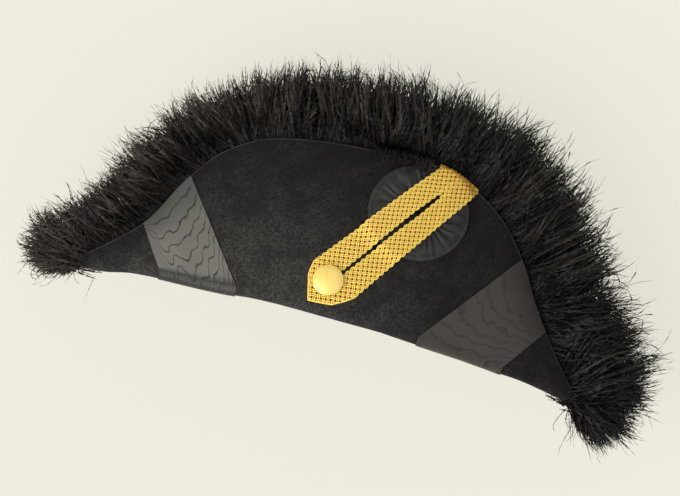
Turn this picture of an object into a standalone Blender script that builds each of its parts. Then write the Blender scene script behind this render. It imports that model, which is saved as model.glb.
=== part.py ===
"""Cocked hat with a feather border, lying on its far side.

The hat is shaped upright first. X runs from the left tip to the right tip, Z points
up, and the side with the cockade faces -Y, the near side. X = 0 and Y = 0 are the
middle of the head opening, and Z = 0 is the line through the two tips. One empty
then lays the finished hat down on its far side.
"""

import math

import bmesh
import bpy
import numpy as np
from mathutils import Matrix

# Felt
LENGTH = 0.470  # brim, tip to tip
EDGE_RISE = 0.1714  # highest point of the brim's edge above the tips
ARCH_RISE = 0.0162  # middle of the underside above the tips
HEAD_LENGTH = 0.202  # inside of the head opening
HEAD_WIDTH = 0.156
CROWN_DEPTH = 0.116  # underside to the outside of the crown's top
FELT = 0.0025
CROWN_TO_BRIM = 0.003  # free space beside the crown at the fold
FOLD_RADIUS = 0.007  # outside of the rounded fold
EDGE_HALF_WIDTH = 0.042  # middle plane to the leaf's edge, where the leaves are furthest apart
HEAD_CENTRE = 0.52  # share of the length from the left tip

# Silk bands
BAND_THICKNESS = 0.001
BAND_TURN_IN = 0.012  # silk that runs on under the fold
BAND_INSET = 0.0005  # felt left bare above the silk

# Cockade
COCKADE_RADIUS = 0.045
COCKADE_RIM = 0.004  # thickness at the outer edge
COCKADE_CROWN = 0.0065  # thickness where the pleats stand highest
COCKADE_PLEATS = 26
COCKADE_ALONG = 0.612  # share of the length from the left tip
COCKADE_DROP = 0.002  # top of the cockade below the felt edge
COCKADE_EYE = 0.8  # thickness in the middle, as a share of the rim's

# Gold loop and button
LACE_THICKNESS = 0.002
LACE_WIDTH = 0.0248  # one run of lace beside the button
LACE_WIDTH_TOP = 0.019  # the same run at the felt edge, where it is drawn together
LOOP_TILT = 53.6  # degrees above the line of the tips
LOOP_END = 0.0247  # point of the loop below the middle of the button
SLIT_WIDTH = 0.002
SLIT_SEWN = 0.022  # length at the top where the runs are sewn together
LOOP_RAMP = 0.012  # length over which the loop climbs onto the cockade
BUTTON_ALONG = 0.4826
BUTTON_UP = 0.2795
BUTTON_RADIUS = 0.01375
BUTTON_RIM = 0.0016
BUTTON_DOME = 0.0052
BUTTON_OFFSET = 0.0025  # middle of the button left of the slit

# Feather border
PLUME_REACH = 0.0743  # longest reach of the feathers past the felt edge
PLUME_OUT = 0.026  # spread on the outer side of a leaf
PLUME_IN = 0.032  # spread into the space between the leaves
PLUME_ROOT = 0.014  # depth of the sewn-on backing below the edge
PLUME_ROOT_FADE = 0.12  # share of the edge over which that depth fades out at a tip
LOCK_TAPER = 0.7  # how much a gap between locks also thins the border
TIP_SHARE = 0.012  # share of the edge at each tip that has no backing under it
PLUME_BACKING = 0.004
PLUME_LIFT = 0.0034  # height of the first barbs above the edge
LOCK_PITCH = 0.022  # distance from lock to lock along the edge
LOCK_DEPTH = 0.2  # how far the gaps between locks cut into the reach
LOCK_LEAN = 0.006  # sideways sweep of the tips

# Fits and pose
GAP = 0.0003  # clearance between touching pieces
LAID = 0.0005  # clearance under silk and lace that follow the curve of a leaf
REST_TILT = 9.0  # degrees by which the feathers let the edge side sink
REST_PRESS = 0.0025  # how much the far leaf is pressed flat by the floor

# Brim sections from the left tip to the right tip. Shares: "along" of LENGTH, "edge"
# of EDGE_RISE, "arch" of ARCH_RISE, "fold" of the largest half width at the fold,
# "mouth" of EDGE_HALF_WIDTH.
SECTION_COLUMNS = ("along", "edge", "arch", "fold", "mouth")
SECTIONS = (
    (0.000, 0.030, 0.00, 0.085, 0.16),
    (0.060, 0.163, 0.08, 0.150, 0.24),
    (0.116, 0.316, 0.42, 0.260, 0.34),
    (0.137, 0.405, 0.49, 0.305, 0.38),
    (0.158, 0.522, 0.54, 0.360, 0.43),
    (0.181, 0.630, 0.58, 0.420, 0.48),
    (0.217, 0.758, 0.62, 0.520, 0.57),
    (0.257, 0.845, 0.67, 0.630, 0.67),
    (0.303, 0.912, 0.76, 0.745, 0.78),
    (0.367, 0.955, 0.95, 0.880, 0.91),
    (0.440, 0.984, 1.00, 0.965, 0.98),
    (0.520, 0.999, 1.00, 1.000, 1.00),
    (0.590, 1.000, 1.00, 0.975, 0.98),
    (0.655, 0.984, 0.90, 0.905, 0.91),
    (0.713, 0.928, 0.81, 0.795, 0.81),
    (0.760, 0.850, 0.74, 0.685, 0.71),
    (0.800, 0.748, 0.65, 0.580, 0.61),
    (0.841, 0.600, 0.54, 0.470, 0.51),
    (0.867, 0.480, 0.50, 0.400, 0.45),
    (0.895, 0.371, 0.41, 0.325, 0.38),
    (0.928, 0.253, 0.26, 0.235, 0.29),
    (0.965, 0.133, 0.07, 0.150, 0.22),
    (1.000, 0.030, 0.00, 0.085, 0.16),
)

# Silk bands: shares of LENGTH where each side line meets the edge and the fold.
BAND_COLUMNS = ("name", "edge_left", "edge_right", "fold_left", "fold_right")
BANDS = (
    ("silk_band_left", 0.116, 0.179, 0.167, 0.321),
    ("silk_band_right", 0.825, 0.906, 0.673, 0.844),
)

# Pointed end of the gold loop. "across" is a share of LACE_WIDTH from the slit, and
# "back" the share of LOOP_END by which the end stands back from its point.
LOOP_END_COLUMNS = ("across", "back")
LOOP_ENDS = (
    (-1.00, 1.60),
    (-0.95, 1.02),
    (-0.72, 0.62),
    (-0.35, 0.30),
    (0.00, 0.00),
    (0.35, 0.30),
    (0.64, 0.57),
    (0.84, 1.00),
    (1.00, 1.45),
)

# Cockade from the middle out: "share" of its radius, "height" from the rim's (0) to the
# crown's (1), "pleat" how far the pleats stand out of that.
COCKADE_COLUMNS = ("share", "height", "pleat")
COCKADE_FRONT = (
    (0.16, 0.00, 0.0),
    (0.32, 0.25, 0.5),
    (0.56, 0.85, 0.5),
    (0.78, 1.00, 0.5),
    (0.92, 0.55, 0.5),
    (1.00, 0.00, 0.0),
)
COCKADE_BACK = (0.4, 0.75, 1.0)  # shares of the radius of the rings on its flat back

# Feather border, rib by rib. "along" is a share of the felt edge, below 0 and above 1
# in the fans round the tips, "turn" the direction in degrees round the tip in those
# fans, and "reach" a share of PLUME_REACH.
PLUME_COLUMNS = ("along", "turn", "reach")
PLUMES = (
    (-0.16, 262.0, 0.16),
    (-0.12, 238.0, 0.24),
    (-0.09, 212.0, 0.44),
    (-0.06, 188.0, 0.64),
    (-0.03, 160.0, 0.67),
    (0.00, 136.0, 0.68),
    (0.10, 0.0, 0.72),
    (0.20, 0.0, 0.79),
    (0.28, 0.0, 0.78),
    (0.38, 0.0, 0.90),
    (0.50, 0.0, 0.97),
    (0.62, 0.0, 0.94),
    (0.75, 0.0, 1.00),
    (0.88, 0.0, 0.96),
    (1.00, 34.0, 1.00),
    (1.03, 12.0, 0.92),
    (1.06, -14.0, 0.86),
    (1.09, -38.0, 0.78),
    (1.12, -56.0, 0.56),
    (1.15, -72.0, 0.28),
)

# The border cut across, from its root round the outside and back. "kind" is where a
# point lies, "spread" a share of the backing, PLUME_OUT or, below 0, PLUME_IN, "share"
# a share of the reach, and "lock" how far the gaps between locks cut into it there.
BORDER_COLUMNS = ("kind", "spread", "share", "lock")
BORDER_PROFILE = (
    ("root", -1.00, 0.0, 0.0),
    ("root", 0.00, 0.0, 0.0),
    ("rim", 0.00, 0.0, 0.0),
    ("edge", 0.00, 0.0, 0.0),
    ("free", 0.30, 0.10, 0.0),
    ("free", 0.85, 0.34, 0.4),
    ("free", 1.00, 0.60, 0.8),
    ("free", 0.70, 0.86, 1.0),
    ("free", 0.05, 1.00, 1.0),
    ("free", -0.65, 0.90, 1.0),
    ("free", -1.00, 0.64, 0.8),
    ("free", -0.90, 0.36, 0.4),
    ("free", -0.45, 0.12, 0.0),
    ("backed", -1.00, 0.0, 0.0),
)

# Mesh fineness
STATIONS = 44
LEAF_ROWS = 6
FOLD_ROWS = 3
FLOOR_ROWS = 2
CROWN_SIDES = 32
CROWN_RINGS = 6
LEAF_CURVE = 1.6  # power by which a leaf bends in towards its edge

BLACK_FELT = ((0.012, 0.012, 0.013, 1.0), 0.95, 0.0)
BLACK_SILK = ((0.055, 0.053, 0.050, 1.0), 0.45, 0.0)
BLACK_PLEATS = ((0.018, 0.018, 0.019, 1.0), 0.60, 0.0)
BLACK_PLUME = ((0.010, 0.009, 0.008, 1.0), 0.90, 0.0)
GOLD_LACE = ((0.80, 0.50, 0.12, 1.0), 0.40, 0.9)
GOLD_METAL = ((0.86, 0.62, 0.20, 1.0), 0.28, 1.0)


def column(columns, rows, name):
    """One named column of a table."""
    return np.array([row[columns.index(name)] for row in rows], float)


def smooth(at, known, values):
    """Smooth curve through the values of a table that never swings past them."""
    step = np.diff(known)
    slope = np.diff(values) / step
    tangent = np.zeros(len(values))
    rising = slope[:-1] * slope[1:] > 0
    weighted = 2 * slope[:-1] * slope[1:] / np.where(rising, slope[:-1] + slope[1:], 1.0)
    tangent[1:-1] = np.where(rising, weighted, 0.0)
    tangent[0], tangent[-1] = slope[0], slope[-1]
    at = np.clip(at, known[0], known[-1])
    i = np.clip(np.searchsorted(known, at, side="right") - 1, 0, len(step) - 1)
    t = (at - known[i]) / step[i]
    start = (1 + 2 * t) * (1 - t) ** 2 * values[i] + t * (1 - t) ** 2 * step[i] * tangent[i]
    end = t * t * (3 - 2 * t) * values[i + 1] + t * t * (t - 1) * step[i] * tangent[i + 1]
    return start + end


def section(name, along):
    """A column of the brim's sections at this share of the length."""
    return smooth(
        np.asarray(along, float),
        column(SECTION_COLUMNS, SECTIONS, "along"),
        column(SECTION_COLUMNS, SECTIONS, name),
    )


def share_at(x):
    return np.asarray(x, float) / LENGTH + HEAD_CENTRE


def x_at(along):
    return (np.asarray(along, float) - HEAD_CENTRE) * LENGTH


def edge_height(x):
    return EDGE_RISE * section("edge", share_at(x))


def under_height(x):
    return ARCH_RISE * section("arch", share_at(x))


def fold_half_width(x):
    widest = HEAD_WIDTH / 2 + FELT + CROWN_TO_BRIM + FELT
    return widest * section("fold", share_at(x))


def edge_half_width(x):
    return EDGE_HALF_WIDTH * section("mouth", share_at(x))


def fold_radius(x):
    """Outside radius of the fold, smaller where the brim narrows to a tip."""
    tall = edge_height(x) - under_height(x)
    return np.minimum(FOLD_RADIUS, np.minimum(0.5 * fold_half_width(x), 0.6 * tall))


def leaf_half_width(x, z):
    """Middle plane to the outer face of a leaf, at this height above the tips."""
    low = under_height(x) + fold_radius(x)
    v = np.clip((z - low) / (edge_height(x) - low), 0.0, 1.0)
    return fold_half_width(x) - (fold_half_width(x) - edge_half_width(x)) * v**LEAF_CURVE


def near_face(x, z, lift):
    """Points this far out from the near leaf's outer face."""
    x, z, lift = np.broadcast_arrays(x, z, lift)
    small = 1e-4
    along = (leaf_half_width(x + small, z) - leaf_half_width(x - small, z)) / (2 * small)
    up = (leaf_half_width(x, z + small) - leaf_half_width(x, z - small)) / (2 * small)
    size = np.sqrt(along**2 + 1 + up**2)
    y = -leaf_half_width(x, z)
    return np.stack([x - lift * along / size, y - lift / size, z - lift * up / size], -1)


def inner_half_width(x, z):
    """Middle plane to a piece lying against the inner face of a leaf."""
    small = 1e-4
    along = (leaf_half_width(x + small, z) - leaf_half_width(x - small, z)) / (2 * small)
    up = (leaf_half_width(x, z + small) - leaf_half_width(x, z - small)) / (2 * small)
    return leaf_half_width(x, z) - FELT * np.sqrt(1 + along**2 + up**2) - GAP


def half_section(x):
    """Outer face of one half of the brim at x: rows of (half width, height), middle to edge."""
    radius = float(fold_radius(x))
    wide, low, top = float(fold_half_width(x)), float(under_height(x)), float(edge_height(x))
    rows = [(wide - radius) * i / FLOOR_ROWS for i in range(FLOOR_ROWS + 1)]
    rows = [(y, low) for y in rows]
    for i in range(1, FOLD_ROWS):
        turn = math.radians(90 * i / FOLD_ROWS)
        rows.append((wide - radius + radius * math.sin(turn), low + radius - radius * math.cos(turn)))
    for i in range(LEAF_ROWS + 1):
        z = low + radius + (top - low - radius) * i / LEAF_ROWS
        rows.append((float(leaf_half_width(x, z)), z))
    return rows


def make_material(name, finish):
    colour, roughness, metallic = finish
    material = bpy.data.materials.new(name)
    material.use_nodes = True
    shader = material.node_tree.nodes["Principled BSDF"]
    shader.inputs["Base Color"].default_value = colour
    shader.inputs["Roughness"].default_value = roughness
    shader.inputs["Metallic"].default_value = metallic
    return material


def add_object(name, points, faces, finish, parent):
    """A smooth-shaded object from points and faces."""
    mesh = bpy.data.meshes.new(name)
    mesh.from_pydata([tuple(map(float, p)) for p in points], [], faces)
    work = bmesh.new()
    work.from_mesh(mesh)
    bmesh.ops.recalc_face_normals(work, faces=work.faces)
    work.to_mesh(mesh)
    work.free()
    mesh.shade_smooth()
    mesh.set_sharp_from_angle(angle=math.radians(40))
    mesh.materials.append(make_material(name, finish))
    made = bpy.data.objects.new(name, mesh)
    bpy.context.scene.collection.objects.link(made)
    made.parent = parent
    return made


def slab(lower, upper, keep=None):
    """Points and faces of a closed slab between two grids of points.

    keep says which cells of the grid are there, so that a slit can be left open.
    """
    rows, columns = lower.shape[:2]
    keep = np.ones((rows - 1, columns - 1), bool) if keep is None else keep
    points = np.concatenate([lower.reshape(-1, 3), upper.reshape(-1, 3)])
    top = rows * columns
    faces = []
    for i in range(rows - 1):
        for j in range(columns - 1):
            if not keep[i, j]:
                continue
            a, b = i * columns + j, i * columns + j + 1
            c, d = a + columns + 1, a + columns
            faces += [(a, d, c, b), (a + top, b + top, c + top, d + top)]
            for first, second, (ni, nj) in (
                (a, b, (i - 1, j)),
                (b, c, (i, j + 1)),
                (c, d, (i + 1, j)),
                (d, a, (i, j - 1)),
            ):
                inside = 0 <= ni < rows - 1 and 0 <= nj < columns - 1
                if not (inside and keep[ni, nj]):
                    faces.append((first, second, second + top, first + top))
    used = sorted({v for face in faces for v in face})
    renumber = {old: new for new, old in enumerate(used)}
    return points[used], [tuple(renumber[v] for v in face) for face in faces]


def ring_faces(first, rings, sides):
    """Faces that join rings of points, one ring after another."""
    faces = []
    for i in range(rings - 1):
        for j in range(sides):
            a = first + i * sides + j
            b = first + i * sides + (j + 1) % sides
            faces.append((a, b, b + sides, a + sides))
    return faces


def on_floor(points, raise_by=0.0):
    """The points with any that would lie under the floor lifted onto it."""
    tilt = math.radians(REST_TILT)
    points = np.array(points, float)
    depth = points[..., 2] * math.sin(tilt) + points[..., 1] * math.cos(tilt)
    over = np.maximum(depth - (rest_depth() - raise_by), 0.0)
    points[..., 1] -= over * math.cos(tilt)
    points[..., 2] -= over * math.sin(tilt)
    return points


def rest_depth():
    """How far below the middle plane the floor lies, measured square to the floor."""
    tilt = math.radians(REST_TILT)
    x, z = np.meshgrid(x_at(np.linspace(0.3, 0.75, 46)), np.linspace(0.0, EDGE_RISE, 80))
    inside = (z > under_height(x) + fold_radius(x)) & (z < edge_height(x))
    depth = z * math.sin(tilt) + leaf_half_width(x, z) * math.cos(tilt)
    return float(depth[inside].max()) - REST_PRESS


def crown_oval(turn, grow=0.0):
    """Points of the crown's outer oval, grown outwards by a clearance."""
    return (
        (HEAD_LENGTH / 2 + FELT + grow) * np.cos(turn),
        (HEAD_WIDTH / 2 + FELT + grow) * np.sin(turn),
    )


def make_brim(parent):
    """Both leaves and the underside as one sheet of felt, with the head opening cut out."""
    outer, inner = [], []
    share, edge_x, _, _, _ = felt_edge()
    for x in np.interp(np.linspace(0.0, 1.0, STATIONS + 1), share, edge_x):
        half = half_section(float(x))
        outline = np.array([(-y, z) for y, z in half[:0:-1]] + [(y, z) for y, z in half])
        ahead = np.gradient(outline, axis=0)
        ahead /= np.linalg.norm(ahead, axis=1)[:, None]
        inward = np.stack([-ahead[:, 1], ahead[:, 0]], -1)
        inward[0], inward[-1] = (1.0, 0.0), (-1.0, 0.0)
        felt = outline + inward * FELT
        felt[0, 1] = felt[-1, 1] = outline[0, 1]
        outer.append([(x, y, z) for y, z in outline])
        inner.append([(x, y, z) for y, z in felt])
    points, faces = slab(on_floor(outer), on_floor(inner, FELT))
    brim = add_object("brim", points, faces, BLACK_FELT, parent)

    turns = np.linspace(0, 2 * math.pi, 2 * CROWN_SIDES, endpoint=False)
    x, y = crown_oval(turns, GAP)
    below = np.stack([x, y, np.full_like(x, -ARCH_RISE)], -1)
    above = np.stack([x, y, np.full_like(x, ARCH_RISE + FELT + 0.5 * FOLD_RADIUS)], -1)
    points, faces = tube_between(below, above)
    cutter = add_object("head_opening_cutter", points, faces, BLACK_FELT, parent)
    cutter.hide_render = True
    cutter.display_type = "WIRE"
    cut = brim.modifiers.new("head opening", "BOOLEAN")
    cut.operation = "DIFFERENCE"
    cut.object = cutter
    return brim


def tube_between(low, high):
    """A closed prism between two rings of points."""
    count = len(low)
    sides = [(i, (i + 1) % count, count + (i + 1) % count, count + i) for i in range(count)]
    caps = [tuple(range(count))[::-1], tuple(range(count, 2 * count))]
    return np.concatenate([low, high]), sides + caps


def make_crown(parent):
    """The blocked crown: a dome of felt over the oval of the head."""
    turns = np.linspace(0, 2 * math.pi, CROWN_SIDES, endpoint=False)
    top = ARCH_RISE + CROWN_DEPTH
    points, rings = [], []
    for thinner in (0.0, FELT):
        for i in range(CROWN_RINGS):
            climb = math.radians(90 * i / CROWN_RINGS)
            x, y = crown_oval(turns, -thinner)
            x, y = x * math.cos(climb), y * math.cos(climb)
            base = under_height(crown_oval(turns, -thinner)[0])
            z = base + (top - thinner - base) * math.sin(climb)
            rings.append(range(len(points), len(points) + CROWN_SIDES))
            points += list(np.stack([x, y, z], -1))
        points.append(np.array([0.0, 0.0, top - thinner]))
    faces = []
    for shell in (0, 1):
        first = shell * (CROWN_RINGS * CROWN_SIDES + 1)
        faces += ring_faces(first, CROWN_RINGS, CROWN_SIDES)
        apex = first + CROWN_RINGS * CROWN_SIDES
        last = apex - CROWN_SIDES
        faces += [(last + j, last + (j + 1) % CROWN_SIDES, apex) for j in range(CROWN_SIDES)]
    inside = CROWN_RINGS * CROWN_SIDES + 1
    for j in range(CROWN_SIDES):
        k = (j + 1) % CROWN_SIDES
        faces.append((j, k, inside + k, inside + j))
    return add_object("crown", points, faces, BLACK_FELT, parent)


def make_band(row, parent):
    """A ribbon of watered silk across the near leaf, turned in under the fold."""
    band = dict(zip(BAND_COLUMNS, row))
    across, down, under = 4, 8, 2
    edge_x = x_at(np.linspace(band["edge_left"], band["edge_right"], across + 1))
    fold_x = x_at(np.linspace(band["fold_left"], band["fold_right"], across + 1))
    edge_z = edge_height(edge_x) - BAND_INSET
    fold_z = under_height(fold_x) + fold_radius(fold_x)
    layers = []
    for lift in (LAID, LAID + BAND_THICKNESS):
        rows = []
        for t in np.linspace(0, 1, down + 1):
            rows.append(near_face(edge_x + (fold_x - edge_x) * t, edge_z + (fold_z - edge_z) * t, lift))
        radius = fold_radius(fold_x)
        for i in range(1, FOLD_ROWS + 1):
            turn = math.radians(90 * i / FOLD_ROWS)
            y = fold_half_width(fold_x) - radius + (radius + lift) * math.cos(turn)
            z = fold_z - (radius + lift) * math.sin(turn)
            rows.append(np.stack([fold_x, -y, z], -1))
        for i in range(1, under + 1):
            y = fold_half_width(fold_x) - radius - BAND_TURN_IN * i / under
            rows.append(np.stack([fold_x, -y, under_height(fold_x) - lift], -1))
        layers.append(np.array(rows))
    points, faces = slab(*layers)
    return add_object(band["name"], points, faces, BLACK_SILK, parent)


def cockade_lean():
    """Cosine of the leaf's lean at the cockade, which shortens it in height."""
    x = float(x_at(COCKADE_ALONG))
    top = float(edge_height(x))
    slope = (leaf_half_width(x, top) - leaf_half_width(x, top - 2 * COCKADE_RADIUS)) / (2 * COCKADE_RADIUS)
    return 1 / math.sqrt(1 + float(slope) ** 2)


def cockade_centre():
    x = float(x_at(COCKADE_ALONG))
    return x, float(edge_height(x)) - COCKADE_DROP - COCKADE_RADIUS * cockade_lean()


def make_cockade(parent):
    """A rosette of pleated ribbon: pleats between a low eye and a plain rim."""
    centre_x, centre_z = cockade_centre()
    lean = cockade_lean()
    sides = 2 * COCKADE_PLEATS
    turns = np.linspace(0, 2 * math.pi, sides, endpoint=False)
    heights = dict(zip(column(COCKADE_COLUMNS, COCKADE_FRONT, "share"), COCKADE_FRONT))
    points, faces, rims = [], [], []
    for front, rings in ((False, COCKADE_BACK), (True, tuple(heights))):
        first = len(points)
        for share in rings:
            x = centre_x + COCKADE_RADIUS * share * np.cos(turns)
            z = centre_z + COCKADE_RADIUS * share * np.sin(turns) * lean
            lift = LAID
            if front:
                _, height, pleat = heights[share]
                stand = height * (0.75 + 0.5 * pleat * np.cos(COCKADE_PLEATS * turns))
                lift = LAID + COCKADE_RIM + (COCKADE_CROWN - COCKADE_RIM) * stand
            points += list(near_face(x, z, lift))
        eye = COCKADE_RIM * COCKADE_EYE if front else 0.0
        points.append(near_face(centre_x, centre_z, LAID + eye))
        faces += ring_faces(first, len(rings), sides)
        faces += [(first + j, first + (j + 1) % sides, len(points) - 1) for j in range(sides)]
        rims.append(first + (len(rings) - 1) * sides)
    for j in range(sides):
        k = (j + 1) % sides
        faces.append((rims[0] + j, rims[0] + k, rims[1] + k, rims[1] + j))
    return add_object("cockade", points, faces, BLACK_PLEATS, parent)


def button_centre():
    return float(x_at(BUTTON_ALONG)), BUTTON_UP * EDGE_RISE


def loop_point(across, up):
    """A point of the near leaf from the loop's own lines: across from the slit, up from the button."""
    x, z = button_centre()
    tilt = math.radians(LOOP_TILT)
    across = across + BUTTON_OFFSET
    return (
        x + up * math.cos(tilt) + across * math.sin(tilt),
        z + up * math.sin(tilt) - across * math.cos(tilt),
    )


def loop_across(share, side, up, length):
    """Distance from the slit of a line of the lace that lies at this share of a run's width."""
    width = LACE_WIDTH + (LACE_WIDTH_TOP - LACE_WIDTH) * up / length
    return share * (width - SLIT_WIDTH / 2) + side * SLIT_WIDTH / 2


def loop_top(share, side, length):
    """Distance up the loop at which one of its lines meets the edge of the leaf."""
    low, high = 0.0, 1.5 * EDGE_RISE
    for _ in range(40):
        middle = (low + high) / 2
        x, z = loop_point(loop_across(share, side, middle, length), middle)
        low, high = (middle, high) if z < edge_height(x) else (low, middle)
    return low


def loop_lift(x, z):
    """Height of the lace's underside above the felt: it climbs over the cockade."""
    centre_x, centre_z = cockade_centre()
    away = np.hypot(x - centre_x, (z - centre_z) / cockade_lean())
    near = np.clip((COCKADE_RADIUS + LOOP_RAMP - away) / LOOP_RAMP, 0, 1)
    return LAID + (COCKADE_CROWN + GAP) * near * near * (3 - 2 * near)


def make_loop(parent):
    """Two runs of gold lace side by side, pointed under the button and turned over the edge."""
    across_shares = column(LOOP_END_COLUMNS, LOOP_ENDS, "across")
    back = column(LOOP_END_COLUMNS, LOOP_ENDS, "back")
    run = (0.0, 0.35, 0.70, 0.95, 1.0)
    columns = [(-share, -1) for share in reversed(run)] + [(share, 1) for share in run]
    rows = 18
    slit_start = 0.5 * BUTTON_RADIUS
    length = loop_top(0.0, 0, EDGE_RISE)
    grid = np.zeros((2, rows + 3, len(columns), 3))
    ups = np.zeros((rows + 1, len(columns)))
    for j, (share, side) in enumerate(columns):
        start = -LOOP_END * (1 - float(np.interp(share, across_shares, back)))
        end = loop_top(share, side, length)
        ups[:, j] = start + (end - start) * np.linspace(0, 1, rows + 1) ** 0.9
        for i, up in enumerate(ups[:, j]):
            x, z = loop_point(loop_across(share, side, up, length), up)
            for layer, extra in enumerate((0.0, LACE_THICKNESS)):
                grid[layer, i, j] = near_face(x, z, loop_lift(x, z) + extra)
        edge = float(edge_height(x))
        for layer, extra in enumerate((0.0, LACE_THICKNESS)):
            corner = grid[layer, rows, j].copy()
            corner[1] = -float(leaf_half_width(x, edge)) - GAP
            corner[2] = edge + GAP + extra
            grid[layer, rows + 1, j] = corner
            inner = corner.copy()
            inner[1] += FELT
            grid[layer, rows + 2, j] = inner
    middle = ups[:, 4]
    keep = np.ones((rows + 2, len(columns) - 1), bool)
    for i in range(rows):
        keep[i, 4] = not (slit_start < middle[i] and middle[i + 1] < middle[-1] - SLIT_SEWN)
    points, faces = slab(grid[0], grid[1], keep)
    return add_object("gold_loop", points, faces, GOLD_LACE, parent)


def make_button(parent):
    """A domed gilt button lying on the lower end of the loop."""
    centre_x, centre_z = button_centre()
    seat = loop_lift(centre_x, centre_z) + LACE_THICKNESS + GAP
    origin = near_face(centre_x, centre_z, seat)
    out = near_face(centre_x, centre_z, seat + 1.0) - origin
    aside = np.cross(out, (0.0, 0.0, 1.0))
    aside /= np.linalg.norm(aside)
    up = np.cross(aside, out)
    profile = [(1.0, BUTTON_RIM * 0.3), (1.0, BUTTON_RIM)]
    for i in range(1, 6):
        turn = math.radians(90 * i / 6)
        profile.append((0.97 * math.cos(turn), BUTTON_RIM + (BUTTON_DOME - BUTTON_RIM) * math.sin(turn)))
    sag = seat_sag(centre_x, centre_z, BUTTON_RADIUS)
    sides = 24
    points = [origin + out * sag]
    for radius, height in [(0.93, 0.0), *profile]:
        for j in range(sides):
            turn = 2 * math.pi * j / sides
            flat = aside * math.cos(turn) + up * math.sin(turn)
            points.append(origin + flat * radius * BUTTON_RADIUS + out * (height + sag))
    points.append(origin + out * (BUTTON_DOME + sag))
    faces = [(0, 1 + (j + 1) % sides, 1 + j) for j in range(sides)]
    faces += ring_faces(1, len(profile) + 1, sides)
    last = 1 + len(profile) * sides
    faces += [(last + j, last + (j + 1) % sides, len(points) - 1) for j in range(sides)]
    return add_object("button", points, faces, GOLD_METAL, parent)


def seat_sag(x, z, radius):
    """How far a flat disc must rise so that its rim clears the leaf's curve."""
    turns = np.linspace(0, 2 * math.pi, 24, endpoint=False)
    centre = near_face(x, z, 0.0)
    out = near_face(x, z, 1.0) - centre
    rim = near_face(x + radius * np.cos(turns), z + radius * np.sin(turns), 0.0)
    return max(0.0, float(((rim - centre) @ out).max()))


def felt_edge():
    """The near leaf's edge by share of its length: (share, x, z, direction out, length)."""
    x = x_at(np.linspace(0, 1, 400))
    z = edge_height(x)
    run = np.r_[0, np.cumsum(np.hypot(np.diff(x), np.diff(z)))]
    share = run / run[-1]
    soft = 12
    ahead_x = np.interp(share + soft / 400, share, x) - np.interp(share - soft / 400, share, x)
    ahead_z = np.interp(share + soft / 400, share, z) - np.interp(share - soft / 400, share, z)
    return share, x, z, np.degrees(np.arctan2(ahead_x, -ahead_z)), run[-1]


def plume_ribs():
    """The border's ribs: base point, direction out, reach, and how far each is round a tip."""
    share, x, z, out, length = felt_edge()
    known = column(PLUME_COLUMNS, PLUMES, "along")
    count = 2 * int(round((known[-1] - known[0]) * length / LOCK_PITCH))
    along = np.linspace(known[0], known[-1], count + 1)
    reach = smooth(along, known, column(PLUME_COLUMNS, PLUMES, "reach")) * PLUME_REACH
    turn = column(PLUME_COLUMNS, PLUMES, "turn")
    fan = np.interp(along, known, turn)
    on_edge = (along > 0) & (along < 1)
    direction = np.where(on_edge, np.interp(along, share, out), fan)
    ease = np.clip(np.minimum(along, 1 - along) / 0.06, 0, 1)
    tip = np.where(along < 0.5, np.interp(0.0, known, turn), np.interp(1.0, known, turn))
    direction = np.where(on_edge, tip + (direction - tip) * ease, direction)
    return along, np.interp(along, share, x), np.interp(along, share, z), direction, reach


def rib_points(index, along, x, z, direction, reach):
    """One rib of the border as (share of reach, y, position): a closed loop of points."""
    heading = np.array([math.cos(math.radians(direction)), math.sin(math.radians(direction))])
    edge = float(edge_half_width(x))
    room = max(edge - FELT - 2 * GAP, GAP)
    from_tip = min(along, 1 - along)
    in_fan = from_tip < TIP_SHARE
    full = min(1.0, max(0.0, from_tip) / PLUME_ROOT_FADE)
    root = -0.6 * PLUME_LIFT if in_fan else PLUME_ROOT * full
    rim = 0.8 * PLUME_LIFT if in_fan else 0.0
    backing = min(PLUME_BACKING, 0.8 * room)
    narrow = min(1.0, 0.35 + reach / PLUME_REACH)
    out, into = PLUME_OUT * narrow, PLUME_IN * narrow
    points = []
    for row, (kind, spread, share, lock) in enumerate(BORDER_PROFILE):
        aside = spread * (backing if kind in ("root", "backed") else out if spread > 0 else into)
        gap_here = (index + row // 2) % 2 == 1
        cut = LOCK_DEPTH * lock if gap_here else 0.0
        depth = {"root": -root, "rim": rim, "edge": PLUME_LIFT, "backed": PLUME_LIFT}.get(kind)
        if depth is None:
            depth = PLUME_LIFT + (reach - PLUME_LIFT) * share * (1 - cut)
            aside *= 1 - LOCK_TAPER * cut
        lean = LOCK_LEAN * lock * math.sin(1.7 * index + row)
        px = x + heading[0] * depth - heading[1] * lean
        pz = z + heading[1] * depth + heading[0] * lean
        wide = edge - FELT - GAP
        if kind == "root" and not in_fan:
            wide += (float(inner_half_width(px, pz)) - wide) * full
        points.append((px, max(wide + aside + (FELT + GAP if kind == "free" else 0.0), GAP / 2), pz))
    return points


def make_border(name, side, parent):
    """Ostrich feather sewn along the inside of one leaf's edge, as locks on one backing."""
    along, x, z, direction, reach = plume_ribs()
    ribs = [rib_points(i, *rib) for i, rib in enumerate(zip(along, x, z, direction, reach))]
    ribs = np.array(ribs)
    ribs[..., 1] *= side
    ribs = on_floor(ribs)
    count, around = ribs.shape[:2]
    points = list(ribs.reshape(-1, 3))
    faces = ring_faces(0, count, around)
    for end in (0, count - 1):
        points.append(ribs[end].mean(axis=0))
        middle = len(points) - 1
        faces += [(end * around + j, end * around + (j + 1) % around, middle) for j in range(around)]
    return add_object(name, points, faces, BLACK_PLUME, parent)


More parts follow.
